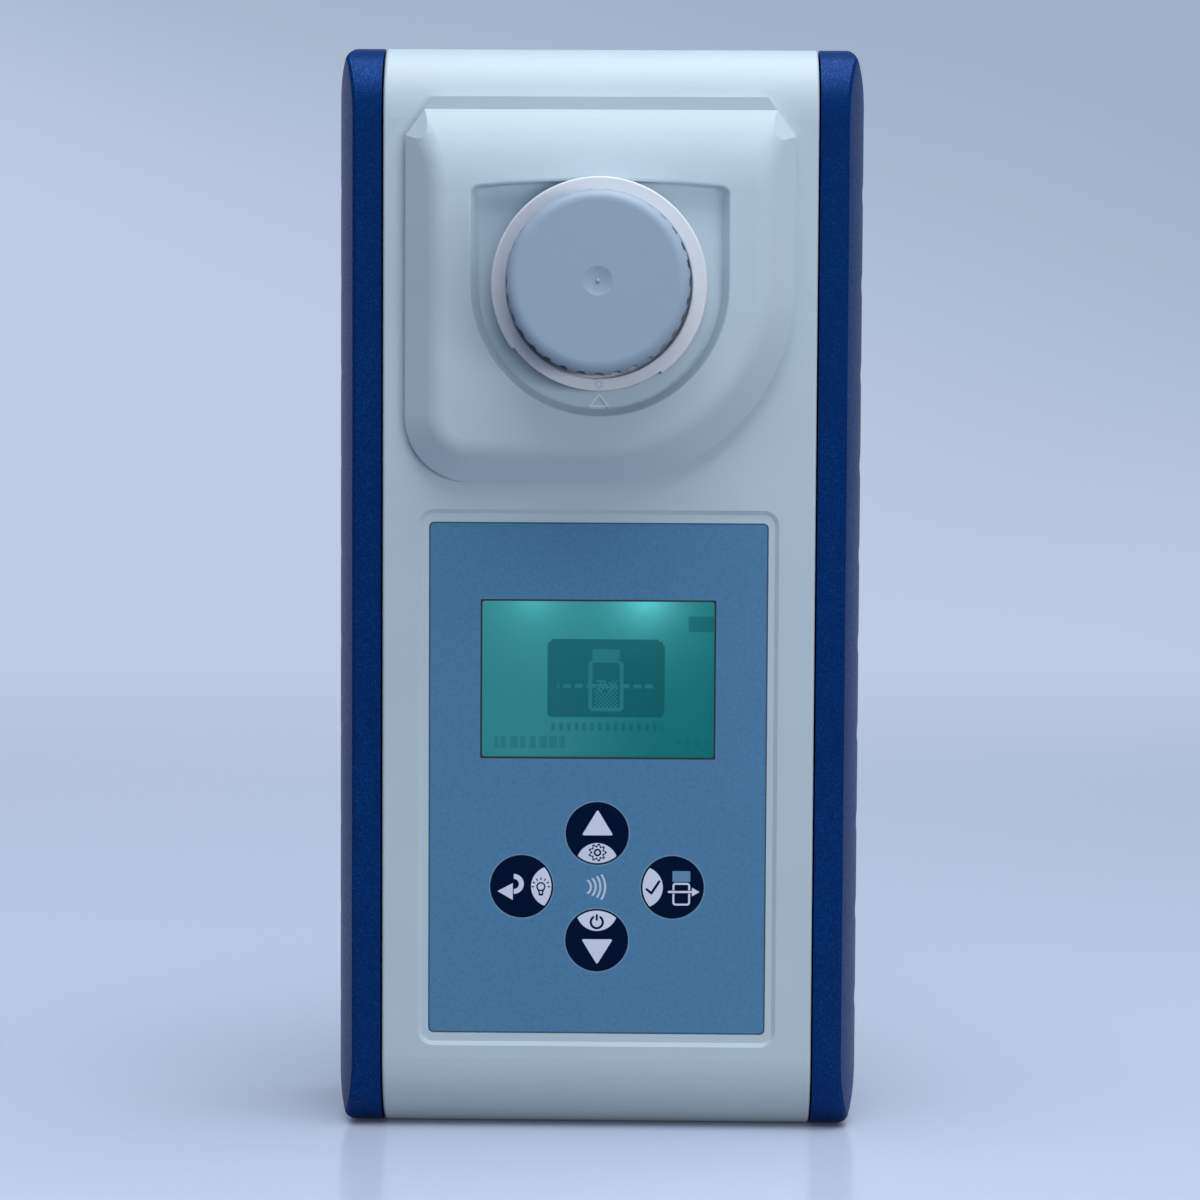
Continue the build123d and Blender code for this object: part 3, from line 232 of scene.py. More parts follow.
class Sketch:
    """Flat shapes drawn on a piece's front, in millimetres. Each is a distance to its edge, below 0 inside."""

    def __init__(self, finish, x, z, pixel=0.0):
        self.finish = finish
        spot = finish.place((x, 0.0, z))
        if pixel:
            spot = finish.vector("SNAP", spot, (pixel, pixel, pixel))
            spot = finish.vector("ADD", spot, (pixel / 2, 0.0, pixel / 2))
        self.spot = finish.vector("MULTIPLY", spot, (1.0, 0.0, 1.0))
        self.x, _, self.z = finish.parts(self.spot)

    def away(self, x, z):
        """How far a point is from x, z."""
        return self.finish.vector("DISTANCE", self.spot, (x, 0.0, z), 1)

    def disc(self, x, z, radius):
        return self.away(x, z) - radius

    def ring(self, x, z, radius, stroke):
        return abs(self.disc(x, z, radius)) - stroke / 2

    def plate(self, x, z, width, height, corner=0.0):
        """A rectangle with round corners."""
        across = abs(self.x - x) - (width / 2 - corner)
        up = abs(self.z - z) - (height / 2 - corner)
        if not corner:
            return across & up
        outside = ((across & 0.0) ** 2.0 + (up & 0.0) ** 2.0) ** 0.5
        return outside + ((across & up) | 0.0) - corner

    def frame(self, x, z, width, height, corner, stroke):
        return abs(self.plate(x, z, width, height, corner)) - stroke / 2

    def line(self, start, end, stroke):
        """A straight stroke with round ends."""
        reach = (end[0] - start[0], 0.0, end[1] - start[1])
        size = reach[0] ** 2 + reach[2] ** 2
        offset = self.finish.vector("SUBTRACT", self.spot, (start[0], 0.0, start[1]))
        along = self.finish.vector("DOT_PRODUCT", offset, tuple(part / size for part in reach), 1)
        foot = self.finish.vector("SCALE", reach, Scale=self.finish.clamped(along))
        return self.finish.vector("DISTANCE", offset, foot, 1) - stroke / 2

    def path(self, points, stroke):
        """Straight strokes from point to point."""
        lines = [self.line(a, b, stroke) for a, b in zip(points, points[1:])]
        shape = lines[0]
        for piece in lines[1:]:
            shape = shape | piece
        return shape

    def wedge(self, points, corner=0.01):
        """A shape with straight sides that bulges nowhere inwards, its points in turn anticlockwise."""
        shape = None
        for (ax, az), (bx, bz) in zip(points, points[1:] + points[:1]):
            size = math.hypot(bx - ax, bz - az)
            out = ((bz - az) / size, 0.0, (ax - bx) / size)
            side = self.finish.vector("DOT_PRODUCT", self.spot, out, 1) - (ax * out[0] + az * out[2])
            shape = side if shape is None else self.finish.math("SMOOTH_MAX", shape, side, corner)
        return shape

    def turn(self, x, z):
        """The angle about x, z, anticlockwise from the right."""
        return self.finish.math("ARCTAN2", self.z - z, self.x - x)

    def ink(self, distance, blur=0.05):
        """1 where a shape covers, 0 elsewhere."""
        return self.finish.clamped(0.5 - distance / blur)


def dress(material, *nodes):
    """Gives CAD nodes their material."""
    for name in nodes:
        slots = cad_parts[name].data.materials
        slots.clear()
        slots.append(material)


class HousingSettings(bpy.types.PropertyGroup):
    """Sizes and colours of the case's shells."""

    colour: colour("Colour", "Colour of the shells and the battery cover", 181, 201, 213)
    grain: length("Grain", "Width of the moulding's grain", 0.00035)
    depth: length("Depth", "Depth of the moulding's grain", 0.000016)


class GripSettings(bpy.types.PropertyGroup):
    """Sizes and colours of the side rails."""

    colour: colour("Colour", "Ground colour of the rails", 2, 42, 100)
    fleck: colour("Fleck", "Colour of the bright flecks in the rails", 8, 64, 130)
    grain: length("Grain", "Width of a fleck", 0.00014)


class PanelSettings(bpy.types.PropertyGroup):
    """Sizes and colours of the foil and its keys."""

    colour: colour("Foil", "Colour of the printed foil", 74, 124, 162)
    key: colour("Key", "Dark print of the keys", 3, 17, 44)
    sign: colour("Sign", "Light print on the keys", 212, 222, 244)
    grain: length("Grain", "Width of the foil's grain", 0.0005)


class DisplaySettings(bpy.types.PropertyGroup):
    """Sizes and colours of the lit display."""

    left: colour("Left", "Colour of the lit cell at its left", 44, 128, 136)
    right: colour("Right", "Colour of the lit cell at its right", 0, 104, 112)
    glow: colour("Glow", "Colour of the light beside the two lamps", 112, 240, 248)
    ink: colour("Ink", "Colour of a dark pixel", 0, 82, 92)
    pixel: length("Pixel", "Width of one pixel", 0.00028)


class WellSettings(bpy.types.PropertyGroup):
    """Sizes and colours of the collar, the vial and its cap."""

    collar: colour("Collar", "Colour of the light collar", 216, 223, 232)
    cap: colour("Cap", "Colour of the vial's cap", 150, 172, 192)
    glass: colour("Glass", "Tint of the vial", 236, 246, 244)
    mark: length("Mark", "Stroke of the line printed on the vial", 0.0005)


class InsideSettings(bpy.types.PropertyGroup):
    """Sizes and colours of what the case holds."""

    board: colour("Board", "Solder mask of the circuit boards", 18, 92, 58)
    black: colour("Black", "Black mouldings", 32, 33, 36)
    jacket: colour("Jacket", "Jacket of the battery cells", 60, 74, 92)
    track: length("Track", "Pitch of the boards' copper tracks", 0.0016)


class StageSettings(bpy.types.PropertyGroup):
    """Sizes and colours of the floor, the backdrop and the light."""

    floor: colour("Floor", "Colour of the floor", 203, 217, 240)
    sky: colour("Backdrop", "Colour of the backdrop low down", 189, 203, 228)
    high: colour("High", "Colour of the backdrop high up", 159, 177, 200)
    top: FloatProperty(name="Top light", description="Power of the soft light above, in watts", min=0,
                       default=7.6)
    front: FloatProperty(name="Front light", description="Power of the soft light in front, in watts",
                         min=0, default=4.2)
    around: share("Light around", "Strength of the light from all round", 0.4)


def moulded(name, tint, grain, depth, gloss=0.5, wear=0.04, draw=None):
    """Satin moulded plastic: spark-eroded grain, faint clouds in its colour and a roughness that varies."""
    finish = Finish(name)
    place = finish.place()
    fine = finish.noise(place, grain * 1000, 3.0, 0.6)
    clouds = finish.noise(place, 14.0, 2.0)
    darker = tuple(part * (1 - 2 * wear) for part in tint[:3]) + (1.0,)
    lighter = tuple(min(1.0, part * (1 + wear)) for part in tint[:3]) + (1.0,)
    mixed = finish.blend(finish.clamped(clouds * 0.7 + fine * 0.3), darker, lighter)
    # draw paints marks on top, such as the painted highlight round the sunk triangle
    if draw:
        mixed = draw(finish, mixed)
    rough = gloss + (fine - 0.5) * 0.12 + (clouds - 0.5) * 0.08
    return finish.done(finish.shader(Base_Color=mixed, Roughness=rough,
                                     Normal=finish.relief(fine, depth)))


def metal(name, tint, rough=0.3, run=(1.0, 1.0, 1.0), size=0.12):
    """Metal with fine lines along its run, dull patches and a little tarnish."""
    finish = Finish(name)
    place = finish.place()
    lines = finish.noise(finish.stretched(place, *run), size, 3.0, 0.6)
    patches = finish.noise(place, 2.5, 2.0)
    dull = tuple(part * 0.72 for part in tint[:3]) + (1.0,)
    mixed = finish.blend(finish.clamped(patches * 0.6 + lines * 0.3), tint, dull)
    return finish.done(finish.shader(Base_Color=mixed, Metallic=1.0,
                                     Roughness=rough + (lines - 0.5) * 0.2 + (patches - 0.5) * 0.15,
                                     Normal=finish.relief(lines, 0.000004)))


def clear(name, tint, alpha, rough=0.05):
    """Clear sheet or cast resin, with faint smears."""
    finish = Finish(name)
    smears = finish.noise(finish.place(), 5.0, 3.0)
    return finish.done(finish.shader(Base_Color=tint, Roughness=rough + smears * 0.06, Specular_IOR_Level=0.15,
                                     Alpha=alpha + (smears - 0.5) * 0.04))


def mark_highlight(finish, under):
    """Painted highlight: a paler outline round the triangle sunk below the collar, for light on its walls."""
    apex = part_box("light_collar")[0][2] * 1000 - MARK_GAP
    sketch = Sketch(finish, 0.0, apex)
    triangle = sketch.wedge([(0.0, 0.0), (-MARK_HALF, -MARK_HEIGHT), (MARK_HALF, -MARK_HEIGHT)])
    outline = abs(triangle) - MARK_HIGHLIGHT
    # Painted highlight: the outline is drawn paler, as light on the sunk walls
    return finish.blend(sketch.ink(outline) * 0.75, under, tone(222, 232, 238))


class PHOTOMETER_OT_housing(bpy.types.Operator):
    """Finish the two shells and the battery cover."""

    bl_idname = "photometer.housing"
    bl_label = "Shells"

    def execute(self, context):
        data = context.scene.photometer_housing
        tint = tuple(data.colour)
        # The front shell also gets the painted highlight round the sunk triangle
        shell = moulded("front_moulding", tint, data.grain, data.depth, 0.46, draw=mark_highlight)
        dress(shell, "front_shell")
        shell = moulded("rear_moulding", tint, data.grain, data.depth, 0.46)
        dress(shell, "rear_shell", "battery_cover")
        return {"FINISHED"}


class PHOTOMETER_OT_grips(bpy.types.Operator):
    """Finish the blue side rails."""

    bl_idname = "photometer.grips"
    bl_label = "Side rails"

    def execute(self, context):
        data = context.scene.photometer_grips
        finish = Finish("grip_moulding")
        place = finish.place()
        size = data.grain * 1000
        flecks = finish.cells(place, size)
        fine = finish.noise(place, size * 1.4, 2.0)
        clouds = finish.noise(place, 9.0, 2.0)
        bright = finish.smooth(flecks + (clouds - 0.5) * 0.3, 0.55, 1.0)
        mixed = finish.blend(bright, tuple(data.colour), tuple(data.fleck))
        rough = 0.42 - bright * 0.1 + (clouds - 0.5) * 0.08
        shader = finish.shader(Base_Color=mixed, Metallic=0.25 + bright * 0.2, Roughness=rough,
                               Specular_IOR_Level=0.08, Normal=finish.relief(fine, 0.00001))
        dress(finish.done(shader), "left_grip", "right_grip")
        return {"FINISHED"}


def foil_finish(data, keys, opening):
    """The printed foil: mottled ground, a painted edge shadow, rings round the keys and the wave sign.

    The keys and the opening are given by their centres.
    """
    finish = Finish("panel_foil")
    low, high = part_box("faceplate")
    width, height = (high[0] - low[0]) * 1000, (high[2] - low[2]) * 1000
    middle = (low[2] + high[2]) * 500
    place = finish.place()
    mottle = finish.noise(place, data.grain * 1000, 4.0, 0.7)
    clouds = finish.noise(place, 22.0, 2.0)
    ground = tuple(data.colour)
    deep = tuple(part * 0.82 for part in ground[:3]) + (1.0,)
    pale = tuple(part * 1.2 for part in ground[:3]) + (1.0,)
    mixed = finish.blend(finish.clamped((mottle - 0.5) * 1.6 + clouds * 0.25 + 0.38), deep, pale)
    sketch = Sketch(finish, 0.0, 0.0)
    # Painted shadow: a dark line along the foil's outer edge, in place of shade at its edge wall and gap
    edge = abs(sketch.plate(0.0, middle, width, height, FOIL_CORNER)) - EDGE_SHADOW
    mixed = finish.blend(sketch.ink(edge, 0.1) * 0.75, mixed, tone(38, 58, 82))
    rim = sketch.plate(*opening, *(side + OPENING_RIM for side in OPENING), 0.2)
    mixed = finish.blend(sketch.ink(rim), mixed, tone(40, 34, 44))
    rings = sketch.disc(*keys["up"], RING_RADIUS)
    for name in ("down", "left", "right"):
        rings = rings | sketch.disc(*keys[name], RING_RADIUS)
    mixed = finish.blend(sketch.ink(rings, 0.08) * 0.35, mixed, tone(150, 178, 204))
    sign_z = (keys["up"][1] + keys["down"][1]) / 2
    mixed = finish.blend(sketch.ink(wave_sign(sketch, sign_z)) * 0.85, mixed, tone(196, 214, 234))
    shader = finish.shader(Base_Color=mixed, Roughness=0.5 + (mottle - 0.5) * 0.3,
                           Normal=finish.relief(mottle, 0.000012))
    return finish.done(shader)


def wave_sign(sketch, z):
    """Four arcs that open to the right, as on a wireless link."""
    centre = -2.07
    away = sketch.away(centre, z)
    arcs = abs(away - 1.2) | abs(away - 1.88) | abs(away - 2.56) | abs(away - 3.24)
    span = abs(sketch.z - z) - (away * 0.41 + 0.48)
    return (arcs - 0.15) & span & (centre - sketch.x)


def lens(sketch, x, z):
    """The light field at a key's inner side, whose middle lies towards x, z."""
    return sketch.disc(0.0, 0.0, 4.27) & sketch.disc(x * 4.35, z * 4.35, 2.98)


def gear(sketch, x, z):
    away = sketch.away(x, z)
    teeth = sketch.finish.math("COSINE", sketch.turn(x, z) * 9.0) * 0.17
    rim = abs(away - (teeth + 1.02)) - 0.13
    return rim | (abs(away - 0.42) - 0.13)


def power_sign(sketch, x, z):
    gap = sketch.plate(x, z + 0.9, 0.75, 1.4)
    ring = sketch.ring(x, z, 0.86, 0.33) & (-gap)
    return ring | sketch.line((x, z + 0.35), (x, z + 1.02), 0.3)


def lamp_sign(sketch, x, z):
    """A lamp with its rays."""
    away = sketch.away(x, z)
    bulb = abs(away - 0.56) - 0.11
    neck = sketch.path([(x - 0.42, z - 0.4), (x - 0.24, z - 0.8), (x - 0.24, z - 1.1), (x + 0.24, z - 1.1),
                        (x + 0.24, z - 0.8), (x + 0.42, z - 0.4)], 0.2)
    turn = sketch.turn(x, z) * 6.0
    rays = abs(sketch.finish.math("SINE", turn)) * away / 6.0 - 0.09
    rays = rays & (abs(away - 1.15) - 0.18) & (-0.2 - (sketch.z - z))
    return bulb | neck | rays | sketch.plate(x, z - 1.15, 0.55, 0.3)


def return_arrow(sketch):
    """An arrow that turns back to the left."""
    x, z = -1.11, 0.36
    hook = sketch.ring(x, z, 1.08, 0.7) & (x - sketch.x)
    head = sketch.wedge([(-3.45, -0.70), (-1.25, -1.98), (-1.25, 0.48)], 0.12)
    return hook | head


def tick(sketch):
    return sketch.path([(-3.68, -0.3), (-3.0, -0.85), (-1.9, 0.85)], 0.36)


def vial_sign(sketch):
    """The outline of a vial, without its cap."""
    body = sketch.frame(1.28, -0.95, 2.25, 3.0, 0.3, 0.28)
    return body & (sketch.z - 0.9)


def beam_sign(sketch):
    """An arrow through the vial: the light path."""
    shaft = sketch.line((-0.5, -0.63), (2.95, -0.63), 0.3)
    return shaft | sketch.wedge([(2.8, -1.25), (3.9, -0.63), (2.8, -0.01)], 0.05)


def key_finish(name, data, x, z):
    """One key: dark satin print with its signs in light print, about the key's centre."""
    finish = Finish("key_" + name + "_print")
    sketch = Sketch(finish, x, z)
    place = finish.place()
    mottle = finish.noise(place, 0.35, 3.0, 0.6)
    dark, light = tuple(data.key), tuple(data.sign)
    paler = tuple(part * 1.5 for part in dark[:3]) + (1.0,)
    greyer = tuple(part * 0.9 for part in light[:3]) + (1.0,)
    ground = finish.blend(mottle, dark, paler)
    print_tone = finish.blend(mottle, greyer, light)
    if name == "up":
        field, sign = lens(sketch, 0, -1), gear(sketch, 0.05, -2.74)
        arrow = sketch.wedge([(0.05, 3.45), (-2.2, -0.26), (2.3, -0.26)], 0.45)
    elif name == "down":
        field, sign = lens(sketch, 0, 1), power_sign(sketch, 0.0, 2.62)
        arrow = sketch.wedge([(0.05, -3.5), (2.3, 0.16), (-2.2, 0.16)], 0.45)
    elif name == "left":
        field, sign = lens(sketch, 1, 0), lamp_sign(sketch, 2.77, -0.02)
        arrow = return_arrow(sketch)
    else:
        field, sign = lens(sketch, -1, 0), tick(sketch)
        arrow = vial_sign(sketch)
    if name == "right":
        cap = sketch.plate(1.28, 1.6, 2.55, 1.54, 0.08)
        ground = finish.blend(sketch.ink(cap), ground, tone(96, 140, 178))
        beam = beam_sign(sketch)
        ground = finish.blend(sketch.ink(arrow), ground, print_tone)
        ground = finish.blend(sketch.ink(beam - 0.1), ground, dark)
        arrow = beam
    printed = sketch.ink(field & -sign)
    mixed = finish.blend(finish.clamped(printed + sketch.ink(arrow)), ground, print_tone)
    shader = finish.shader(Base_Color=mixed, Roughness=0.42 + (mottle - 0.5) * 0.2,
                           Specular_IOR_Level=0.03, Normal=finish.relief(mottle, 0.000006))
    return finish.done(shader)


def centre_of(node):
    """The middle of a node's front, in millimetres."""
    low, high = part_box(node)
    return (low[0] + high[0]) * 500, (low[2] + high[2]) * 500


class PHOTOMETER_OT_panel(bpy.types.Operator):
    """Print the foil and the four keys."""

    bl_idname = "photometer.panel"
    bl_label = "Foil and keys"

    def execute(self, context):
        data = context.scene.photometer_panel
        keys = {name: centre_of("key_" + name) for name in ("up", "down", "left", "right")}
        dress(foil_finish(data, keys, centre_of("display_window")), "faceplate")
        for name, (x, z) in keys.items():
            dress(key_finish(name, data, x, z), "key_" + name)
        pin = moulded("plunger_moulding", tone(216, 216, 210), 0.0004, 0.00001, 0.4)
        dress(pin, *("key_" + name + "_plunger" for name in keys))
        return {"FINISHED"}


def display_finish(data):
    """The lit cell: a glow beside each lamp, and a plain picture of a vial in its light path, in pixels."""
    finish = Finish("display_cell")
    x, z = centre_of("lcd_glass")
    smooth = Sketch(finish, x, z)
    sketch = Sketch(finish, x, z, data.pixel * 1000)
    place = finish.place()
    mist = finish.noise(place, 0.6, 3.0, 0.7)
    lit = finish.blend(finish.smooth(smooth.x + (mist - 0.5) * 3.0, -12.0, 11.0), tuple(data.left),
                       tuple(data.right))
    left = smooth.away(-9.5, 12.2) / 3.4
    right = smooth.away(6.8, 12.0) / 3.6
    glow = 0.55 / (left ** 2.0 + 1.0) + 1.0 / (right ** 2.0 + 1.0)
    lit = finish.blend(finish.clamped(glow * 0.8), lit, tuple(data.glow))
    panel = sketch.plate(1.05, -0.1, 16.7, 11.2, 0.9)
    ink = tuple(data.ink)
    lit = finish.blend(sketch.ink(panel, 0.02) * 0.72, lit, ink)
    lit = finish.blend(vial_picture(sketch) * 0.7, lit, tuple(data.left))
    lit = finish.blend(bar_row(sketch) * 0.5, lit, ink)
    shader = finish.shader(Base_Color=tone(6, 20, 22), Roughness=0.2 + mist * 0.1, Specular_IOR_Level=0.1,
                           Emission_Color=lit, Emission_Strength=0.98)
    return finish.done(shader)


def vial_picture(sketch):
    """A capped vial, half full, with a dashed light path through it."""
    x = 1.05
    outline = sketch.frame(x, -1.1, 4.5, 7.0, 0.6, 0.56)
    cap = sketch.plate(x, 3.5, 3.9, 1.4)
    checks = sketch.finish.math("FLOORED_MODULO", (sketch.x + sketch.z) / 0.56, 1.0) < 0.5
    water = sketch.ink(sketch.plate(x, -2.3, 3.4, 4.2), 0.02) * checks
    dashes = ((sketch.x % 1.68) < 1.1) * sketch.ink(sketch.plate(x, -1.2, 13.6, 0.5), 0.02)
    solid = sketch.ink(outline | cap, 0.02)
    return sketch.finish.clamped(solid + water + dashes)


def bar_row(sketch):
    """A charge block at the upper right, a row of ticks under the picture and two rows of level bars."""
    charge = sketch.ink(sketch.plate(14.7, 7.9, 3.9, 2.2), 0.02)
    ticks = sketch.ink(sketch.plate(1.05, -7.0, 16.2, 1.1), 0.02) * ((sketch.x % 1.12) < 0.56)
    level = sketch.ink(sketch.plate(-9.8, -9.3, 10.0, 1.6), 0.02) * ((sketch.x % 1.4) < 0.98)
    dots = sketch.ink(sketch.plate(13.0, -9.3, 6.0, 1.1), 0.02) * ((sketch.x % 1.4) < 0.7)
    return sketch.finish.clamped(charge + ticks * 0.8 + level * 0.6 + dots * 0.6)


class PHOTOMETER_OT_display(bpy.types.Operator):
    """Light the display and finish what holds it."""

    bl_idname = "photometer.display"
    bl_label = "Display"

    def execute(self, context):
        data = context.scene.photometer_display
        dress(display_finish(data), "lcd_glass")
        dress(clear("window_sheet", tone(30, 44, 46), 0.07, 0.1), "display_window")
        dress(moulded("guide_moulding", tone(226, 240, 232), 0.0006, 0.00001, 0.3), "light_guide")
        resin = moulded("lamp_resin", tone(232, 236, 226), 0.0003, 0.000005, 0.25)
        dress(resin, "backlight_leds", "source_led")
        return {"FINISHED"}


def vial_finish(data):
    """Clear glass with a white line and arrow printed on its front, and faint ripples from drawing."""
    finish = Finish("vial_glass")
    place = finish.place()
    ripples = finish.noise(finish.stretched(place, 1.0, 0.15, 1.0), 3.0, 2.0)
    glass = finish.shader(Base_Color=tuple(data.glass), Roughness=0.02 + ripples * 0.03, IOR=1.47,
                          Transmission_Weight=1.0, Normal=finish.relief(ripples, 0.00003))
    low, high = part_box("vial")
    middle = (low[2] + high[2]) * 500
    front = high[2] * 1000
    x, y, z = finish.parts(finish.vector("SUBTRACT", place, (0.0, 0.0, middle)))
    stroke = data.mark * 1000
    line = (abs(y + 8.0) - stroke / 2) & (abs(x) - 4.0)
    arrow = (abs(x) + (y + 14.0) * 0.6 - 1.4) & (-14.6 - y)
    outer = (front - middle - 0.4) - (x ** 2.0 + z ** 2.0) ** 0.5
    shape = (line | arrow) & outer & (-z)
    worn = finish.noise(place, 0.4, 2.0)
    white = finish.shader(Base_Color=tone(236, 238, 240), Roughness=0.5 + worn * 0.2)
    share = finish.clamped(0.5 - shape / 0.06)
    return finish.done(finish.node("ShaderNodeMixShader", {}, {0: share, 1: glass, 2: white}))


def collar_finish(data):
    """White satin moulding, with painted shade in a small engraved index over the mark on the case."""
    finish = Finish("collar_moulding")
    place = finish.place()
    fine = finish.noise(place, 0.3, 3.0, 0.6)
    clouds = finish.noise(place, 6.0, 2.0)
    low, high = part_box("light_collar")
    sketch = Sketch(finish, 0.0, (low[2] + high[2]) * 500)
    index = sketch.ring(0.0, -13.9, 0.42, 0.2) | sketch.line((-0.9, -13.2), (-0.5, -13.2), 0.18)
    engraving_and_shade = sketch.ink(index, 0.1)
    tint = tuple(data.collar)
    shade = tuple(part * 0.88 for part in tint[:3]) + (1.0,)
    # Painted shade darkens the engraved index; the clouds are a random tone
    mixed = finish.blend(finish.clamped(clouds * 0.6 + engraving_and_shade * 0.6), tint, shade)
    bump = finish.relief(fine, 0.000008)
    bump = finish.relief(1.0 - engraving_and_shade, 0.00008, bump)
    return finish.done(finish.shader(Base_Color=mixed, Roughness=0.42 + (fine - 0.5) * 0.15, Normal=bump))


def cap_finish(data):
    """Grey-blue satin moulding with rings left by its mould and a polished dimple."""
    finish = Finish("cap_moulding")
    low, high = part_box("vial_cap")
    place = finish.place((0.0, 0.0, (low[2] + high[2]) * 500))
    x, _, z = finish.parts(place)
    away = (x ** 2.0 + z ** 2.0) ** 0.5
    fine = finish.noise(place, 0.28, 3.0, 0.6)
    clouds = finish.noise(place, 7.0, 2.0)
    rings = finish.math("SINE", away * 14.0) * 0.5 + 0.5
    tint = tuple(data.cap)
    shade = tuple(part * 0.92 for part in tint[:3]) + (1.0,)
    mixed = finish.blend(finish.clamped(clouds * 0.6 + fine * 0.3), tint, shade)
    gloss = 0.46 + (fine - 0.5) * 0.14 - (1.0 - finish.smooth(away, 1.2, 2.2)) * 0.16
    return finish.done(finish.shader(Base_Color=mixed, Roughness=gloss,
                                     Normal=finish.relief(fine + rings * 0.15, 0.000009)))


class PHOTOMETER_OT_well(bpy.types.Operator):
    """Finish the collar, the vial, its cap and liner."""

    bl_idname = "photometer.well"
    bl_label = "Vial and collar"

    def execute(self, context):
        data = context.scene.photometer_well
        dress(collar_finish(data), "light_collar")
        dress(cap_finish(data), "vial_cap")
        dress(vial_finish(data), "vial")
        foam = moulded("liner_foam", tone(232, 232, 226), 0.0002, 0.00004, 0.7)
        dress(foam, "cap_liner")
        return {"FINISHED"}


def board_finish(data):
    """Solder mask over copper tracks, with tinned pads."""
    finish = Finish("board_mask")
    place = finish.place()
    pitch = data.track * 1000
    x, _, z = finish.parts(place)
    lanes = finish.cells(finish.stretched(place, 1.0, 0.0, 0.12), pitch)
    tracks = (finish.math("PINGPONG", x, pitch / 2) < pitch * 0.12) * (lanes > 0.45)
    ties = (finish.math("PINGPONG", z, pitch * 1.5) < pitch * 0.1) * (lanes > 0.7)
    copper = finish.clamped(tracks + ties)
    dots = finish.node("ShaderNodeTexVoronoi", {}, {"Vector": finish.stretched(place, 1.0, 0.0, 1.0),
                                                   "Scale": 0.5 / pitch}, "Distance")
    pads = dots < 0.11
    fine = finish.noise(place, 0.3, 2.0)
    tint = tuple(data.board)
    under = finish.blend(copper, tint, tuple(part * 1.7 for part in tint[:3]) + (1.0,))
    mixed = finish.blend(pads, under, tone(196, 198, 196))
    return finish.done(finish.shader(Base_Color=mixed, Metallic=pads * 0.9, Roughness=0.3 + fine * 0.12,
                                     Normal=finish.relief(finish.clamped(copper + pads), 0.00003)))


class PHOTOMETER_OT_electronics(bpy.types.Operator):
    """Finish the circuit boards and what is soldered to them."""

    bl_idname = "photometer.electronics"
    bl_label = "Boards"

    def execute(self, context):
        data = context.scene.photometer_inside
        dress(board_finish(data), "main_board", "source_board", "detector_board")
        black = moulded("black_moulding", tuple(data.black), 0.00025, 0.00001, 0.45, 0.1)
        dress(black, "display_frame", "processor_chip", "buzzer", "key_switches")
        dress(metal("plated_can", tone(200, 202, 204), 0.22), "clock_crystal", "photodiode")
        dress(moulded("dark_resin", tone(74, 40, 66), 0.0003, 0.000004, 0.15, 0.08), "data_led")
        dress(moulded("amber_film", tone(190, 122, 44), 0.0012, 0.00001, 0.35, 0.1), "sensor_flex")
        return {"FINISHED"}


class PHOTOMETER_OT_optics(bpy.types.Operator):
    """Finish the optical block, its windows and its filter."""

    bl_idname = "photometer.optics"
    bl_label = "Light path"

    def execute(self, context):
        data = context.scene.photometer_inside
        dress(moulded("block_moulding", tuple(data.black), 0.0004, 0.00003, 0.62, 0.1), "optical_block")
        dress(clear("window_glass", tone(228, 242, 240), 0.2), "chamber_windows")
        dress(clear("filter_coating", tone(150, 176, 96), 0.6, 0.08), "light_filter")
        return {"FINISHED"}


def jacket_finish(data):
    """A plain dark jacket round each cell, with a light band, on bare steel ends."""
    finish = Finish("cell_jacket")
    low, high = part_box("battery_cells")
    place = finish.place()
    _, _, z = finish.parts(place)
    bottom, top = low[2] * 1000, high[2] * 1000
    fine = finish.noise(finish.stretched(place, 1.0, 1.0, 0.2), 0.4, 2.0)
    ends = finish.clamped(((z > top - 1.5) + (z < bottom + 1.5)) * 1.0)
    band = (z > bottom + 30.0) * (z < bottom + 38.0)
    tint = tuple(data.jacket)
    mixed = finish.blend(band * 0.8, finish.blend(fine * 0.3, tint, tone(30, 38, 50)), tone(176, 184, 190))
    mixed = finish.blend(ends, mixed, tone(196, 198, 200))
    return finish.done(finish.shader(Base_Color=mixed, Metallic=0.35 + ends * 0.6, Roughness=0.34 + fine * 0.1,
                                     Normal=finish.relief(fine, 0.000004)))


class PHOTOMETER_OT_power(bpy.types.Operator):
    """Finish the cells, their springs and contacts."""

    bl_idname = "photometer.power"
    bl_label = "Cells"

    def execute(self, context):
        dress(jacket_finish(context.scene.photometer_inside), "battery_cells")
        dress(metal("spring_plating", tone(208, 208, 202), 0.24, (1.0, 1.0, 0.2)), "battery_springs",
              "battery_contacts")
        return {"FINISHED"}


class PHOTOMETER_OT_fasteners(bpy.types.Operator):
    """Finish the screws, the inserts and the rubber seals."""

    bl_idname = "photometer.fasteners"
    bl_label = "Screws and seals"

    def execute(self, context):
        steel = metal("screw_steel", tone(196, 199, 203), 0.3, (1.0, 0.1, 1.0))
        dress(steel, "case_screws", "board_screws", "block_screws", "cover_screw_lower", "cover_screw_upper")
        dress(metal("insert_brass", tone(214, 176, 96), 0.28, (1.0, 0.15, 1.0)), "thread_inserts")
        rubber = moulded("seal_rubber", tone(34, 34, 37), 0.0003, 0.00002, 0.7, 0.12)
        dress(rubber, "shell_gasket", "cover_seal", "chamber_seal", "lcd_contact_strips")
        return {"FINISHED"}


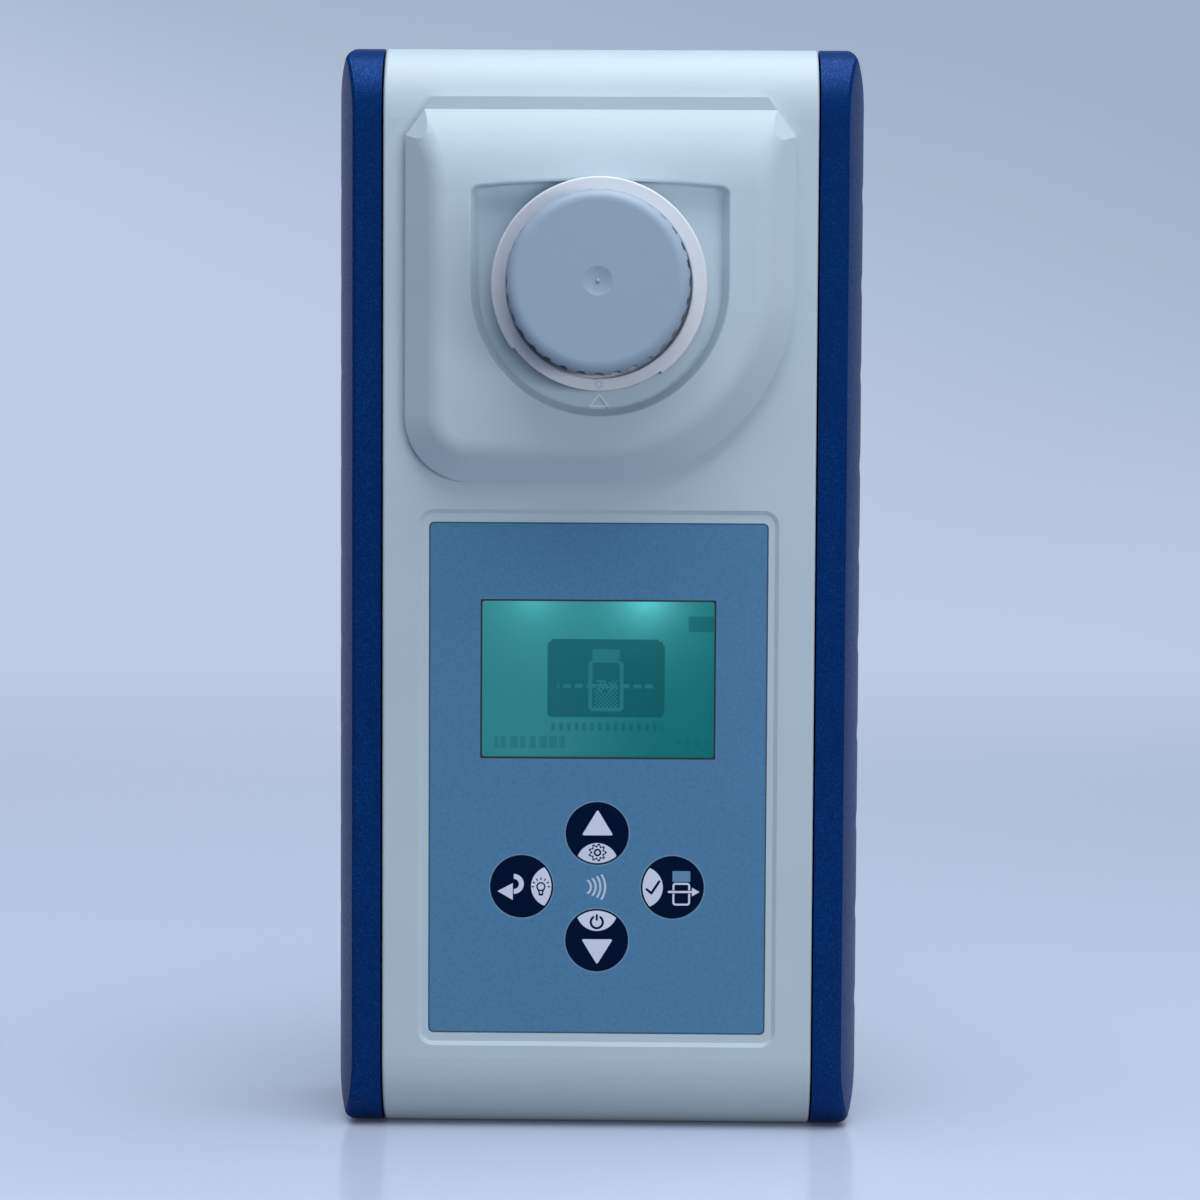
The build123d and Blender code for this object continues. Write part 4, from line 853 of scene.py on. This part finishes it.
def stage_finish(data):
    """A pale floor with a dull mirror, that passes into a plain backdrop of the same colour."""
    finish = Finish("stage_paper")
    place = finish.place()
    x, y, z = finish.parts(place)
    fine = finish.noise(place, 3.0, 2.0)
    direct, mirrored, through = finish.node("ShaderNodeLightPath", {}, {},
                                            ("Is Camera Ray", "Is Glossy Ray", "Is Transmission Ray"))
    seen = finish.clamped(direct + mirrored + through)
    pale = finish.blend(fine * 0.06, tuple(data.floor), tone(150, 165, 190))
    floor = finish.shader(Base_Color=finish.blend(seen, tone(84, 94, 116), pale),
                          Roughness=0.16 + fine * 0.03)
    clouds = finish.noise(place, 900.0, 1.0)
    high = finish.smooth(z + x * 0.35 + (clouds - 0.5) * 400.0, 60.0, 430.0)
    tint = finish.blend(high, tuple(data.sky), tuple(data.high))
    glow = finish.node("ShaderNodeEmission", {}, {"Color": tint, "Strength": 1.0})
    far = finish.smooth(y, 120.0, 900.0)
    mixed = finish.node("ShaderNodeMixShader", {}, {0: seen * far, 1: floor, 2: glow})
    return finish.done(mixed)


def swept_floor():
    """A wide floor that bends up into a backdrop behind the object."""
    mesh = bpy.data.meshes.new("floor_sweep")
    sweep = bmesh.new()
    edge = [sweep.verts.new((-FLOOR_HALF, y, 0.0)) for y in (FLOOR_FRONT, FLOOR_BACK)]
    sweep.edges.new(edge)
    turn = bmesh.ops.spin(sweep, geom=[edge[1]], cent=(-FLOOR_HALF, FLOOR_BACK, FLOOR_BEND), axis=(1, 0, 0),
                          angle=math.pi / 2, steps=24, use_merge=False)
    top = turn["geom_last"]
    wall = bmesh.ops.extrude_vert_indiv(sweep, verts=[v for v in top if isinstance(v, bmesh.types.BMVert)])
    bmesh.ops.translate(sweep, verts=wall["verts"], vec=(0, 0, WALL_HEIGHT))
    rail = bmesh.ops.extrude_edge_only(sweep, edges=sweep.edges[:])
    moved = [v for v in rail["geom"] if isinstance(v, bmesh.types.BMVert)]
    bmesh.ops.translate(sweep, verts=moved, vec=(2 * FLOOR_HALF, 0, 0))
    bmesh.ops.recalc_face_normals(sweep, faces=sweep.faces[:])
    for face in sweep.faces:
        face.smooth = True
    sweep.to_mesh(mesh)
    sweep.free()
    stage = bpy.data.objects.new("floor_sweep", mesh)
    bpy.context.collection.objects.link(stage)
    return stage


def soft_light(name, place, aim, width, height, power):
    """A soft box that aims at a point."""
    lamp = bpy.data.lights.new(name, "AREA")
    lamp.shape = "RECTANGLE"
    lamp.size = width
    lamp.size_y = height
    lamp.energy = power
    lamp.color = LAMP_TINT
    box = bpy.data.objects.new(name, lamp)
    box.location = place
    box.rotation_euler = (Vector(aim) - Vector(place)).to_track_quat("-Z", "Y").to_euler()
    bpy.context.collection.objects.link(box)
    return box


def photo_camera():
    """The camera as it stood for the photograph: nearly level, just below the case's middle."""
    yaw, pitch, roll = (math.radians(angle) for angle in (CAMERA_YAW, CAMERA_PITCH, CAMERA_ROLL))
    ahead = Vector((math.sin(yaw) * math.cos(pitch), math.cos(yaw) * math.cos(pitch), math.sin(pitch)))
    right = Vector((math.cos(yaw), -math.sin(yaw), 0.0))
    up = right.cross(ahead)
    leaning = math.cos(roll) * right + math.sin(roll) * up
    upright = math.cos(roll) * up - math.sin(roll) * right
    lens_data = bpy.data.cameras.new("camera")
    lens_data.sensor_width = CAMERA_SENSOR
    lens_data.lens = CAMERA_LENS
    lens_data.clip_start = 0.01
    lens_data.clip_end = 20.0
    camera = bpy.data.objects.new("camera", lens_data)
    turn = Matrix((leaning, upright, -ahead)).transposed().to_4x4()
    camera.matrix_world = Matrix.Translation(CAMERA_PLACE) @ turn
    bpy.context.collection.objects.link(camera)
    bpy.context.scene.camera = camera


class PHOTOMETER_OT_stage(bpy.types.Operator):
    """Set the floor and backdrop, the soft lights and the camera."""

    bl_idname = "photometer.stage"
    bl_label = "Stage"

    def execute(self, context):
        data = context.scene.photometer_stage
        floor = swept_floor()
        floor.data.materials.append(stage_finish(data))
        soft_light("top_box", *TOP_BOX, data.top)
        front = soft_light("front_box", *FRONT_BOX, data.front)
        front.visible_glossy = False
        world = bpy.data.worlds.new("soft_room")
        world.use_nodes = True
        sky = world.node_tree.nodes["Background"]
        sky.inputs["Color"].default_value = tone(205, 220, 246)
        sky.inputs["Strength"].default_value = data.around
        context.scene.world = world
        context.scene.view_settings.view_transform = "Standard"
        photo_camera()
        return {"FINISHED"}


OPERATORS = (
    PHOTOMETER_OT_housing,
    PHOTOMETER_OT_grips,
    PHOTOMETER_OT_panel,
    PHOTOMETER_OT_display,
    PHOTOMETER_OT_well,
    PHOTOMETER_OT_electronics,
    PHOTOMETER_OT_optics,
    PHOTOMETER_OT_power,
    PHOTOMETER_OT_fasteners,
    PHOTOMETER_OT_stage,
)

GROUPS = {
    "photometer_housing": HousingSettings,
    "photometer_grips": GripSettings,
    "photometer_panel": PanelSettings,
    "photometer_display": DisplaySettings,
    "photometer_well": WellSettings,
    "photometer_inside": InsideSettings,
    "photometer_stage": StageSettings,
}


class PHOTOMETER_PT_panel(bpy.types.Panel):
    """Lists the steps that dress the photometer, and their settings."""

    bl_label = "Water test photometer"
    bl_idname = "PHOTOMETER_PT_panel"
    bl_space_type = "VIEW_3D"
    bl_region_type = "UI"
    bl_category = "Photometer"

    def draw(self, context):
        for operator in OPERATORS:
            self.layout.operator(operator.bl_idname)
        for name, group in GROUPS.items():
            box = self.layout.box()
            box.label(text=group.__name__.replace("Settings", ""))
            for key in group.__annotations__:
                box.prop(getattr(context.scene, name), key)


def register():
    for name, group in GROUPS.items():
        bpy.utils.register_class(group)
        setattr(bpy.types.Scene, name, PointerProperty(type=group))
    for operator in OPERATORS:
        bpy.utils.register_class(operator)
    bpy.utils.register_class(PHOTOMETER_PT_panel)


def unregister():
    bpy.utils.unregister_class(PHOTOMETER_PT_panel)
    for operator in reversed(OPERATORS):
        bpy.utils.unregister_class(operator)
    for name, group in reversed(GROUPS.items()):
        delattr(bpy.types.Scene, name)
        bpy.utils.unregister_class(group)


def main():
    """Dresses the part."""
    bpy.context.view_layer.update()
    register()
    bpy.ops.photometer.housing()
    bpy.ops.photometer.grips()
    bpy.ops.photometer.panel()
    bpy.ops.photometer.display()
    bpy.ops.photometer.well()
    bpy.ops.photometer.electronics()
    bpy.ops.photometer.optics()
    bpy.ops.photometer.power()
    bpy.ops.photometer.fasteners()
    bpy.ops.photometer.stage()


if __name__ == "__main__":
    main()
